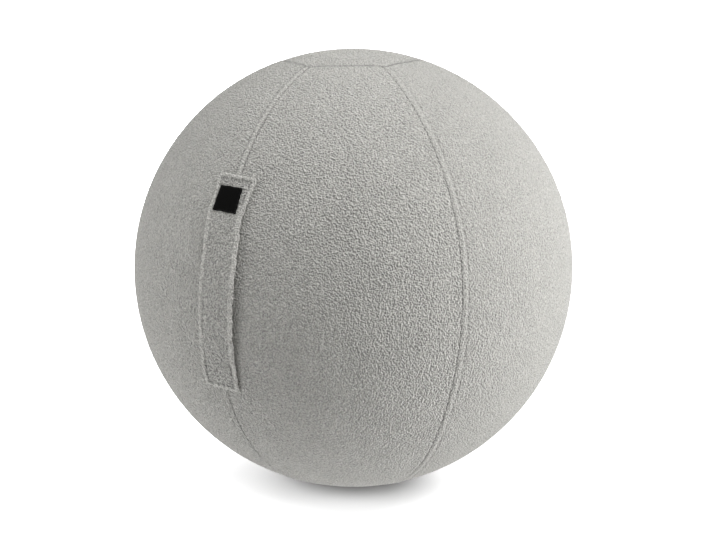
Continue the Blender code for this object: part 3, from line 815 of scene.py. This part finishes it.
def strap_rim(across, along):
    """1 on the puffed rim and 0 on the flat inside it, and how near a line of stitches is."""
    end = np.minimum(along, STRAP_LENGTH - along)
    inside = strap_half(along) - np.abs(across)
    edge = np.minimum(inside, end)
    rim = np.clip((STRAP_STITCH + RIM_START - edge) / RIM_STEP, 0, 1)
    line = hump(edge, STRAP_STITCH, STITCH_WIDTH) * (end < BOX_LENGTH)
    box = hump(end, BOX_LENGTH, STITCH_WIDTH) * (inside > STRAP_STITCH)
    return rim * rim * (3 - 2 * rim), np.maximum(line, BOX_SHALLOW * box)


def strap_top(across, along):
    """Height of the strap's upper face over its underside."""
    rim, line = strap_rim(across, along)
    return strap_thick(along) - RIM_PUFF * (1 - rim) - STITCH_DEPTH * line


print("strap height in its middle:", round(strap_top(0.0, STRAP_LENGTH / 2), 4), "m")

# %% [markdown]
# ## The strap as a tube
#
# The section above is swept along the front seam as one loop of points after another. `tube` joins
# the loops, fills both ends and turns every face outwards. The pile tree then grows a short pile on
# it. A number kept on its points tells the finish where to paint highlight, on the rims and the
# folded lower end, and where to paint shade, along the lines where the stitches draw the pile in,
# over a slightly darker tone of the whole upper face.


# %% Tubes, and places beside a seam
def beside(facing, across, radius, polar):
    """Points beside the front (-1) or rear (+1) seam, at a distance across it."""
    turn = across / RADIUS
    rows = [np.sin(turn), facing * np.cos(turn) * np.sin(polar), np.cos(turn) * np.cos(polar)]
    rows = np.stack(np.broadcast_arrays(*rows), -1)
    return rows * np.asarray(radius)[..., None] + MIDDLE


def beside_strap(across, radius, along):
    return beside(-1, across, radius, STRAP_TOP + along / RADIUS)


def closed_ends(mesh):
    """Fills open loops, and turns every face outwards."""
    bm = bmesh.new()
    bm.from_mesh(mesh)
    bmesh.ops.holes_fill(bm, edges=[edge for edge in bm.edges if edge.is_boundary])
    bmesh.ops.triangulate(bm, faces=[face for face in bm.faces if len(face.verts) > 4])
    bmesh.ops.recalc_face_normals(bm, faces=bm.faces)
    bm.to_mesh(mesh)
    bm.free()
    mesh.shade_smooth()
    return mesh


def tube(name, loops, **numbers):
    """A closed mesh through loops of equally many points."""
    loops = np.asarray(loops)
    number = np.arange(loops.shape[0] * loops.shape[1]).reshape(loops.shape[:2])
    after = np.roll(number, -1, 1)
    faces = np.stack([number[:-1], number[1:], after[1:], after[:-1]], -1).reshape(-1, 4)
    return closed_ends(plain_mesh(name, loops.reshape(-1, 3), faces, **numbers))


# %% Strap: one loop of its section
STRAP_CORNER = 0.006
FOLD, FOLD_EDGE = 0.0034, 0.0007  # the folded end rounds off over this length, to this thickness
RIM_LIFT, RIM_LIFT_POWER = 0.0008, 1.5  # how far the rim stands off the ball
# Painted highlight on the puffed rims and the folded lower end, painted shade along the stitch lines,
# and a slightly darker tone over the whole upper face.
RIM_PALE, FADE_PALE, RIM_FADE = 0.34, 0.14, 0.0150  # on the rim, and fading out inwards
FOOT_PALE = 0.20
LINE_DARK, FLAT_DARK = 0.50, 0.18
LIFT_ABOVE, FOLD_RAISE = 0.5, 0.25  # the upper face lifts less, and a folded end lies higher
PALE_FROM = 0.3  # the part of the height above which the pile can be pale or dark


def strap_loop(along, turns, flat):
    end = min(along, STRAP_LENGTH - along)
    corner = max(0.0, STRAP_CORNER - end)
    half = strap_half(along) - STRAP_CORNER + sqrt(max(0.0, STRAP_CORNER**2 - corner**2))
    full = strap_thick(along)
    fold = max(0.0, 1 - end / FOLD)
    thick = FOLD_EDGE + (full - FOLD_EDGE) * sqrt(1 - fold**2)
    straight = half - thick / 2
    edge, up = straight + thick / 2 * np.cos(turns), thick / 2 * (1 + np.sin(turns))
    across = np.concatenate([edge, straight * flat, -edge[::-1], -straight * flat])
    high = np.concatenate([up, np.full(len(flat), thick), up[::-1], np.zeros(len(flat))])
    top, level = strap_top(across, along) / full, high / thick
    high = high * np.where(level > 0.5, 1 + (top - 1) * (2 * level - 1), 1)
    inside = np.minimum(strap_half(along) - np.abs(across), end)
    lift = RIM_LIFT * np.clip(1 - inside / STRAP_STITCH, 0, 1) ** RIM_LIFT_POWER
    lift = lift * (1 - strap_foot(along)) * (1 - level * LIFT_ABOVE)
    high = high + lift + (full - thick) * FOLD_RAISE
    down = along - strap_skew(across / half, along)
    loop = beside_strap(across + strap_middle(along), strap_lift(along) + high, down)
    rim, line = strap_rim(across, along)
    # Painted highlight on the rims and the lower end, painted shade along the stitch lines.
    pale = RIM_PALE * rim + FADE_PALE * np.clip(1 - inside / RIM_FADE, 0, 1)
    pale += FOOT_PALE * max(0.0, 1 - (STRAP_LENGTH - along) / STRAP_STITCH)
    return loop, np.where(level > PALE_FROM, pale - LINE_DARK * line - FLAT_DARK, 0)


# %% Strap: mesh
STRAP_CELL, STRAP_PILE = 0.0013, 0.0008
END_STEP = 0.0006  # the first loops at each end lie closer together
EDGE_TURNS = 11


def strap_mesh():
    last = STRAP_LENGTH - END_STEP
    inner = np.arange(3 * END_STEP, last - END_STEP, STRAP_CELL)
    stations = np.concatenate([[0.0, END_STEP], inner, [last, STRAP_LENGTH]])
    turns = np.linspace(-pi / 2, pi / 2, EDGE_TURNS)
    flat = np.linspace(1, -1, round(2 * STRAP_HALF / STRAP_CELL))[1:-1]
    loops, pale = zip(*(strap_loop(along, turns, flat) for along in stations))
    return tube("strap", loops, seam=FAR, cap=FAR, hem=0.0, rim=0.0, pale=np.concatenate(pale))


strap_fleece = dict(fleece, Pile=STRAP_PILE, Ditch=0.0, Finish=STRAP_FLEECE)
strap = grown("fleece_strap", strap_mesh(), PILE_TREE, **strap_fleece, Ridge=0.0)
placed(strap, "handle_strap")
print("strap triangles:", sum(len(face.vertices) - 2 for face in strap.data.polygons))

# %% [markdown]
# ## The woven label
#
# The label is a small black square, woven tight and plain, with a cut edge that isn't quite straight.
# Its points keep their distance along and across, so the weave follows the cloth and not the world.


# %% Cloth slabs
def solid(mesh, material):
    """An object for a mesh in one finish, under the mesh's own name."""
    mesh.materials.clear()
    mesh.materials.append(material)
    return link(bpy.data.objects.new(mesh.name, mesh))


def slab(name, place, across, along, thickness, material):
    """A closed cloth slab from a grid of across and along distances."""
    grid_x, grid_y = np.meshgrid(across, along)
    sheets = [place(grid_x, grid_y, raise_by) for raise_by in (0.0, thickness)]
    rows, columns = grid_x.shape
    number = np.arange(rows * columns).reshape(rows, columns)
    corners = [number[:-1, :-1], number[1:, :-1], number[1:, 1:], number[:-1, 1:]]
    faces = np.stack(corners, -1).reshape(-1, 4)
    ring = [number[0, :-1], number[:-1, -1], number[-1, :0:-1], number[:0:-1, 0]]
    ring = np.concatenate(ring)
    after, top = np.roll(ring, -1), rows * columns
    sides = np.stack([ring, ring + top, after + top, after], -1)
    faces = np.concatenate([faces[:, ::-1], faces + top, sides])
    points = np.concatenate([sheet.reshape(-1, 3) for sheet in sheets])
    numbers = {"across": np.tile(grid_x.ravel(), 2), "along": np.tile(grid_y.ravel(), 2)}
    return solid(closed_ends(plain_mesh(name, points, faces, **numbers)), material)


# %% Label
LABEL_WIDTH, LABEL_HEIGHT, LABEL_THICKNESS = 0.0372, 0.0350, 0.0008
LABEL_DROP = 0.0161
LABEL_AT = 0.0003  # middle of the label, across the strap's seam
LABEL_TILT = radians(2.6)
LABEL_TAPER = 0.08  # how much wider it is at its foot than at its top
LABEL_RAISE = 0.0002
LABEL_RAGGED, LABEL_UNEVEN, LABEL_WAVE = 0.0004, 0.0001, 0.0003
EDGE_CURL, EDGE_POWER = 0.0003, 6  # its edges bend down to the strap
LABEL_GRID = 45, 43


def label_place(across, along, raise_by):
    half_x, half_y = LABEL_WIDTH / 2, LABEL_HEIGHT / 2
    ragged = LABEL_RAGGED * np.sin(along * 900) * (across > 0)
    ragged = ragged + LABEL_UNEVEN * np.sin(along * 1700 + 1)
    side = across * (1 + ragged / half_x * np.abs(across) / half_x)
    side = side * (1 + LABEL_TAPER * along / LABEL_HEIGHT)
    turned_x = side * cos(LABEL_TILT) - along * sin(LABEL_TILT)
    turned_y = side * sin(LABEL_TILT) + along * cos(LABEL_TILT) + LABEL_WAVE * np.sin(across * 380)
    down = LABEL_DROP + half_y + turned_y
    high = strap_lift(down) + STRAP_THICKNESS - RIM_PUFF + LABEL_RAISE + raise_by
    edge = np.maximum(np.abs(across) / half_x, np.abs(along) / half_y)
    return beside_strap(LABEL_AT + turned_x, high - EDGE_CURL * edge**EDGE_POWER, down)


label_x = np.linspace(-LABEL_WIDTH / 2, LABEL_WIDTH / 2, LABEL_GRID[0])
label_y = np.linspace(-LABEL_HEIGHT / 2, LABEL_HEIGHT / 2, LABEL_GRID[1])
label = slab("bare_label", label_place, label_x, label_y, LABEL_THICKNESS, LABEL_CLOTH)
placed(label, "woven_label")
print("label faces:", len(label.data.polygons))

# %% [markdown]
# ## Stitches along a path
#
# A row of stitches is one short bit of thread, repeated. Geometry Nodes put points along a curve, turn
# each copy so that it lies along the path with its back to the ball, and vary its length a little from
# a fixed seed. The teeth of the zip are made by the same tree from another piece.

# %% The tree that repeats a piece along a path
VARY_SEED = 7
LENGTH_VARIES = 0.08


def repeat_tree():
    sizes = {"Spacing": "Float", "Vary": "Float", "Middle": "Vector"}
    tree, given = geometry_tree("repeat_along_path", Piece="Object", **sizes, Finish="Material")
    inputs = {"Curve": given, "Length": given["Spacing"]}
    points = tree.node("GeometryNodeCurveToPoints", inputs, "Points", mode="LENGTH")
    here = tree.node("GeometryNodeInputPosition")
    outwards = tree.vector("SUBTRACT", here, given["Middle"])
    axes = {"Primary Axis": points["Tangent"], "Secondary Axis": outwards}
    turn = tree.node("FunctionNodeAxesToRotation", axes, primary_axis="Z", secondary_axis="X")
    vary = given["Vary"]
    spread = {"Min": 1 - vary, "Max": 1 + vary, "Seed": VARY_SEED}
    length = tree.node("FunctionNodeRandomValue", spread, data_type="FLOAT")
    scale = tree.node("ShaderNodeCombineXYZ", {"X": 1.0, "Y": 1.0, "Z": length})
    piece = tree.node("GeometryNodeObjectInfo", {"Object": given["Piece"]}, "Geometry")
    inputs = {"Points": points, "Instance": piece, "Rotation": turn, "Scale": scale}
    copies = tree.node("GeometryNodeInstanceOnPoints", inputs)
    return ending(tree, copies, given["Finish"])


REPEAT_TREE = repeat_tree()
print("nodes in the repeating tree:", len(REPEAT_TREE.nodes))


# %% Pieces along paths
def path_curve(name, paths):
    """A curve object's data with one open spline for each array of points."""
    curve = bpy.data.curves.new(name, "CURVE")
    curve.dimensions = "3D"
    for path in paths:
        spline = curve.splines.new("POLY")
        spline.points.add(len(path) - 1)
        flat = np.concatenate([path, np.ones((len(path), 1))], 1).ravel()
        spline.points.foreach_set("co", flat)
    return curve


def repeated(name, paths, piece, spacing, material, vary=LENGTH_VARIES):
    """Copies of a mesh along paths, as one object."""
    pattern = link(bpy.data.objects.new(piece.name, piece))
    values = {"Piece": pattern, "Spacing": spacing, "Vary": vary, "Middle": CENTRE}
    made = grown(name, path_curve(name, paths), REPEAT_TREE, **values, Finish=material)
    bpy.data.objects.remove(pattern)
    return made


# %% [markdown]
# ## Which lines are sewn
#
# Every second gore lies over its neighbours, and its edge is stitched down 10 mm from the seam. The
# strap has a line along each edge and a box at both ends. The label is held along all four sides, and
# the cloth beside the zip is stitched through its tape.

# %% A stitch, and lines to sew
STITCH_SINK = 0.0014  # below the tips of the pile
STRAP_STITCH_SINK = 0.0006
SEAM_STEPS = 240
STITCH_SIDES, STITCH_RINGS = 6, 5
STITCH_POINT, STITCH_TAPER, STITCH_DIP = 0.12, 0.8, 0.9  # how thin it ends, and how far it dips


def stitch_piece(length, thread):
    """A bit of thread that dips into the cloth at both ends. X is outwards."""
    turns = np.arange(STITCH_SIDES) / STITCH_SIDES * 2 * pi
    rings = []
    for part in np.linspace(-1, 1, STITCH_RINGS):
        thin = thread * sqrt(max(STITCH_POINT, 1 - STITCH_TAPER * part**4))
        sink = -STITCH_DIP * thread * part**2
        ring = [sink + thin * np.cos(turns), thin * np.sin(turns), part * length / 2 + 0 * turns]
        rings.append(np.stack(ring, -1))
    return tube("stitch", rings)


def seam_line(seam, side, start, end):
    """A line beside a seam, on the side of larger (+1) or smaller (-1) azimuth."""
    polar = np.linspace(start, end, SEAM_STEPS)
    slot = zip_slot(polar) if seam == ZIP_SEAM else 0
    across = seam_stray(seam, polar) + side * (TOP_STITCH + slot)
    azimuth = seam * GORE_ANGLE + across / (RADIUS * np.sin(polar))
    return on_ball(polar, azimuth, RADIUS - STITCH_SINK)


def strap_line(across, along):
    high = strap_lift(along) + strap_top(across, along) - STRAP_STITCH_SINK
    down = along - strap_skew(across / strap_half(along), along)
    return beside_strap(across + strap_middle(along), high, down)


# %% Seam and strap stitches
STITCH_LENGTH, STITCH_THREAD = 0.0036, 0.00042
SEAM_SPACING, STRAP_SPACING = 0.0046, 0.0042
SEAM_END = radians(1.2)
ZIP_STITCH_PAST = 0.02  # the zip's stitches run on past its opening by this angle
STRAP_STEPS, BOX_STEPS = 160, 40

stitch = stitch_piece(STITCH_LENGTH, STITCH_THREAD)
seam_top, seam_foot = CAP_CORNER + SEAM_END, pi - CAP_CORNER - SEAM_END
paths = [seam_line(seam, 1 if seam % 2 else -1, seam_top, seam_foot) for seam in range(GORES)]
zip_from, zip_to = SLOT_ENDS[0] - ZIP_STITCH_PAST, SLOT_ENDS[1] + ZIP_STITCH_PAST
paths.append(seam_line(ZIP_SEAM, -1, zip_from, zip_to))
seam_stitches = repeated("seam_stitches", paths, stitch, SEAM_SPACING, THREAD)
placed(seam_stitches)

along = np.linspace(STRAP_STITCH, STRAP_LENGTH - STRAP_STITCH, STRAP_STEPS)
paths = [strap_line(side * (strap_half(along) - STRAP_STITCH), along) for side in (-1, 1)]
for at in (STRAP_STITCH, BOX_LENGTH):
    for end in (at, STRAP_LENGTH - at):
        half = strap_half(np.array(end)) - STRAP_STITCH
        paths.append(strap_line(np.linspace(-half, half, BOX_STEPS), np.full(BOX_STEPS, end)))
strap_stitches = repeated("strap_stitches", paths, stitch, STRAP_SPACING, STRAP_THREAD)
placed(strap_stitches)
print("faces in stitches:", len(seam_stitches.data.polygons), len(strap_stitches.data.polygons))

# %% [markdown]
# ## The label's own stitches
#
# A fine black thread holds the label 1.6 mm inside its cut edge. Each path is read from the label's own
# function, so the thread follows its tilt and its curled edges.

# %% Label stitches
LABEL_INSET = 0.0016
LABEL_STITCH, LABEL_THREAD_RADIUS, LABEL_SPACING = 0.0020, 0.00020, 0.0026
inset_x, inset_y = LABEL_WIDTH / 2 - LABEL_INSET, LABEL_HEIGHT / 2 - LABEL_INSET
run = np.linspace(-1, 1, BOX_STEPS)
level = np.ones(BOX_STEPS)
paths = [label_place(run * inset_x, level * y, LABEL_THICKNESS) for y in (-inset_y, inset_y)]
paths += [label_place(level * x, run * inset_y, LABEL_THICKNESS) for x in (-inset_x, inset_x)]
label_stitch = stitch_piece(LABEL_STITCH, LABEL_THREAD_RADIUS)
label_stitches = repeated("label_stitches", paths, label_stitch, LABEL_SPACING, LABEL_THREAD)
placed(label_stitches)
print("faces in the label's stitches:", len(label_stitches.data.polygons))

# %% [markdown]
# ## The zip
#
# The zip is set into the lower half of the rear seam. Each tape carries a row of moulded teeth on a
# cord, and the teeth of one row sit between those of the other. The tapes are woven slabs that follow
# the ball, and the teeth come from the same tree as the stitches.

# %% A tape, a tooth and a cord
CHAIN_MIDDLE, CHAIN_HALF = 0.3222, 0.00095  # from the ball's centre, and half the chain's thickness
ZIP_TOP, ZIP_FOOT = radians(107.93), radians(150.0)  # ends of the rows of teeth
TAPE_THICKNESS, TOOTH_HALF = 0.0006, 0.00085
TAPE_ENDS = radians(105.79), radians(152.13)
CORD_AT, CORD_RADIUS, CORD_FLAT = 0.0022, 0.00088, 0.8
CORD_STEPS, CORD_SIDES = 150, 8
# A tooth's half outline: across the zip from tape to head, and the part of its half width there
TOOTH_OUTLINE = [(0.0030, 0.80), (0.0030, 1.0), (0.0008, 1.0), (0.0003, 0.72), (-0.0002, 0.72)]
TOOTH_OUTLINE += [(-0.0005, 0.98), (-0.00068, 0.62)]
TOOTH_LAYERS = (-1.0, 0.86), (-0.75, 1.0), (0.75, 1.0), (1.0, 0.86)  # height, and how wide there


def tape_place(across, along, raise_by):
    radius = CHAIN_MIDDLE - TAPE_THICKNESS / 2 + raise_by
    return beside(1, across, radius + 0 * across, TAPE_ENDS[0] + along / CHAIN_MIDDLE)


def tooth_piece(side):
    """A tooth: a block round the cord, and a head that reaches past the middle. X is outwards."""
    outline = TOOTH_OUTLINE + [(y, -share) for y, share in reversed(TOOTH_OUTLINE)]
    layers = []
    for height, wide in TOOTH_LAYERS:
        layer = [(height * CHAIN_HALF, side * y, share * wide * TOOTH_HALF) for y, share in outline]
        layers.append(layer)
    mesh = tube("tooth", layers)
    mesh.shade_flat()
    return mesh


def cord(name, side):
    """The cord along a tape's edge, on which the teeth are moulded."""
    polar = np.linspace(ZIP_TOP, ZIP_FOOT, CORD_STEPS)[:, None]
    turns = np.arange(CORD_SIDES) / CORD_SIDES * 2 * pi
    across = side * CORD_AT + CORD_RADIUS * np.cos(turns)
    radius = CHAIN_MIDDLE + CORD_FLAT * CORD_RADIUS * np.sin(turns)
    return solid(tube(name, beside(1, across[None], radius[None] + 0 * polar, polar)), TAPE_CLOTH)


# %% Both sides of the zip
TAPE_EDGE, TAPE_WIDTH = 0.0033, 0.0130
TAPE_GRID = 14, 130
TEETH, TOOTH_PITCH = 58, 0.0040
JUST_UNDER = 0.9999  # so that the last tooth isn't lost to rounding

tape_length = (TAPE_ENDS[1] - TAPE_ENDS[0]) * CHAIN_MIDDLE
for side, word, phase in ((-1, "left", 0.25), (1, "right", 0.75)):
    inner, outer = sorted((side * TAPE_EDGE, side * (TAPE_EDGE + TAPE_WIDTH)))
    across = np.linspace(inner, outer, TAPE_GRID[0])
    along = np.linspace(0, tape_length, TAPE_GRID[1])
    tape = slab(f"woven_tape_{word}", tape_place, across, along, TAPE_THICKNESS, TAPE_CLOTH)
    placed(tape, f"zip_tape_{word}")

    polar = ZIP_TOP + (phase + np.arange(TEETH)) * TOOTH_PITCH / CHAIN_MIDDLE
    line = beside(1, 0 * polar, CHAIN_MIDDLE + 0 * polar, polar)
    pitch = np.linalg.norm(line[1] - line[0]) * JUST_UNDER
    tooth = tooth_piece(side)
    teeth = repeated(f"moulded_teeth_{word}", [line], tooth, pitch, TOOTH_PLASTIC, vary=0.0)
    placed(teeth, f"zip_teeth_{word}")

    placed(cord(f"zip_cord_{word}", side))
    print("faces of the teeth on the", word, len(teeth.data.polygons))

# %% [markdown]
# ## Slider, pull and stops
#
# The CAD already has the right outlines for these small castings. A cast or stamped edge is never
# sharp, though, and a sharp edge never catches the light. So each is a copy of the CAD mesh with its
# flats merged back together and its edges bevelled.

# %% Bevelled castings
EDGE, EDGE_STEPS = 0.00014, 2
MERGED = 1e-6
FLAT, SHARP, CRISP = radians(1), radians(30), radians(40)  # the least angle to keep, bevel and shade


def cast_copy(node, name, body):
    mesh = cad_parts[node].data.copy()
    bm = bmesh.new()
    bm.from_mesh(mesh)
    bmesh.ops.remove_doubles(bm, verts=bm.verts, dist=MERGED)
    bmesh.ops.dissolve_limit(bm, angle_limit=FLAT, verts=bm.verts, edges=bm.edges)
    sharp = [e for e in bm.edges if e.is_manifold and e.calc_face_angle() > SHARP]
    cut = {"offset": EDGE, "segments": EDGE_STEPS, "profile": 0.5, "clamp_overlap": True}
    bmesh.ops.bevel(bm, geom=sharp, affect="EDGES", **cut)
    bmesh.ops.triangulate(bm, faces=[face for face in bm.faces if len(face.verts) > 4])
    bm.to_mesh(mesh)
    bm.free()
    mesh.name = name
    mesh.shade_smooth()
    mesh.set_sharp_from_angle(angle=CRISP)
    placed(solid(mesh, PLATED), node, body)
    print(name, "has", len(mesh.polygons), "faces")


cast_copy("zip_slider", "cast_slider", "slider")
cast_copy("zip_pull", "stamped_pull", "pull")
for node in ("zip_top_stop_left", "zip_top_stop_right", "zip_bottom_stop"):
    cast_copy(node, node.replace("zip_", "crimped_"), "ball")

# %% [markdown]
# ## What stays inside
#
# The inflated ball and its plug are under the cloth. They keep their CAD meshes and get finishes of
# their own. The webbing inside the strap is a plain woven slab that follows the strap's bow, pressed
# down where the strap is sewn.

# %% Inner pieces
WEBBING_HALF, WEBBING_THICKNESS, WEBBING_END = 0.0245, 0.0010, 0.0085
WEBBING_CLEAR = 0.0002
WEBBING_BELOW = RIM_PUFF + STRAP_PILE + WEBBING_CLEAR  # from the strap's upper face to its own
WEBBING_GRID = 17, 80
PRESSED_PAST, PRESSED_OVER = 0.008, 0.004
webbing_length = STRAP_LENGTH - 2 * WEBBING_END


def webbing_place(across, along, raise_by):
    down = WEBBING_END + along
    end = np.minimum(down, STRAP_LENGTH - down)
    pressed = STITCH_DEPTH * np.clip((BOX_LENGTH + PRESSED_PAST - end) / PRESSED_OVER, 0, 1)
    high = strap_thick(down) - WEBBING_BELOW - pressed - WEBBING_THICKNESS + raise_by
    return beside_strap(across + strap_middle(down), strap_lift(down) + high, down)


across = np.linspace(-WEBBING_HALF, WEBBING_HALF, WEBBING_GRID[0])
along = np.linspace(0, webbing_length, WEBBING_GRID[1])
webbing = slab("woven_webbing", webbing_place, across, along, WEBBING_THICKNESS, WEBBING_CLOTH)
placed(webbing, "handle_webbing")
for node, material in (("inner_ball", PVC), ("valve_plug", PLUG_PLASTIC)):
    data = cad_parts[node].data
    data.materials.clear()
    data.materials.append(material)

# %% [markdown]
# ## The studio
#
# The photograph was taken on white, in soft light that comes mainly from the upper right. A white
# world and a few large area lights give that. The floor has low, wide lights of its own from all
# round, which take it past white, so a shadow shows only close to where the ball stands. Such a floor
# would glare in the zip's metal, so reflections don't see it.

# %% Floor
FLOOR_SIZE = 60.0  # from its middle to its edge
bm = bmesh.new()
bmesh.ops.create_grid(bm, x_segments=2, y_segments=2, size=FLOOR_SIZE)
floor_mesh = bpy.data.meshes.new("floor")
bm.to_mesh(floor_mesh)
bm.free()
floor_paint = speckled_finish("floor_paint", grey(0.175, 0), grey(0.185, 0), 3.0, 0.9, 0.0)
floor = solid(floor_mesh, floor_paint)
floor.visible_diffuse = floor.visible_glossy = floor.visible_shadow = False
floor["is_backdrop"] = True
print("the floor is", 2 * FLOOR_SIZE, "m wide")

# %% Lights
LIGHT_DISTANCE, LIGHT_SIZE = 3.0, 2.4
LIGHTS = [  # how far round from the camera, how high, and how strong
    ("key_light", 45, 40, 69.5),
    ("top_light", 0, 85, 42.0),
    ("rim_light", 130, 45, 26.0),
    ("high_left_light", -90, 40, 11.0),
    ("bounce_front", 60, -30, 22.5),
    ("bounce_right", 90, -30, 97.5),
    ("bounce_left", -90, -30, 94.5),
]
FLOOR_LIGHTS = [  # how far round, how high, how wide and how strong
    (45, 26, 28, 8.6),
    (135, 26, 28, 15.0),
    (225, 26, 28, 3.6),
    (315, 26, 28, 12.6),
    (0, 90, 140, 23.2),
]


def lamp(name, kind, turn, height, power, lights):
    """A lamp by its angles from the camera's own direction, and the things that it lights."""
    data = bpy.data.lights.new(name, kind)
    data.energy = power
    azimuth = VIEW_AZIMUTH + radians(turn)
    light = facing_ball(data, azimuth, radians(height), LIGHT_DISTANCE)
    light.light_linking.receiver_collection = lights
    return data


lit_floor = bpy.data.collections.new("lit_floor")
others = bpy.data.collections.new("all_but_the_floor")
for group in (lit_floor, others):
    group.objects.link(floor)
others.collection_objects[0].light_linking.link_state = "EXCLUDE"
for name, turn, height, power in LIGHTS:
    data = lamp(name, "AREA", turn, height, power, others)
    data.shape, data.size = "SQUARE", LIGHT_SIZE
for number, (turn, height, width, power) in enumerate(FLOOR_LIGHTS):
    data = lamp(f"floor_light_{number}", "SUN", turn, height, power, lit_floor)
    data.angle = radians(width)
print("lights:", len(LIGHTS) + len(FLOOR_LIGHTS))

# %% The white room
ROOM_LIGHT = 0.21

world = bpy.data.worlds.new("white_room")
bpy.context.scene.world = world
world.use_nodes = True
room = Tree(world.node_tree)
seen = room.node("ShaderNodeLightPath", output="Is Camera Ray")
glow = {"Color": (1, 1, 1, 1), "Strength": seen * (1 - ROOM_LIGHT) + ROOM_LIGHT}
behind = room.node("ShaderNodeBackground", glow)
room.group.links.new(behind.source, room.group.nodes["World Output"].inputs["Surface"])
bpy.context.scene.view_settings.view_transform = "Standard"
print("nodes in the room:", len(room.group.nodes))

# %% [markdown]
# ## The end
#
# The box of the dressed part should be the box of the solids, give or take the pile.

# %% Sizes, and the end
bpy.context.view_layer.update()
meshes = [thing.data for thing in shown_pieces() if thing.type == "MESH"]
print("triangles in all:", sum(len(face.vertices) - 2 for mesh in meshes for face in mesh.polygons))
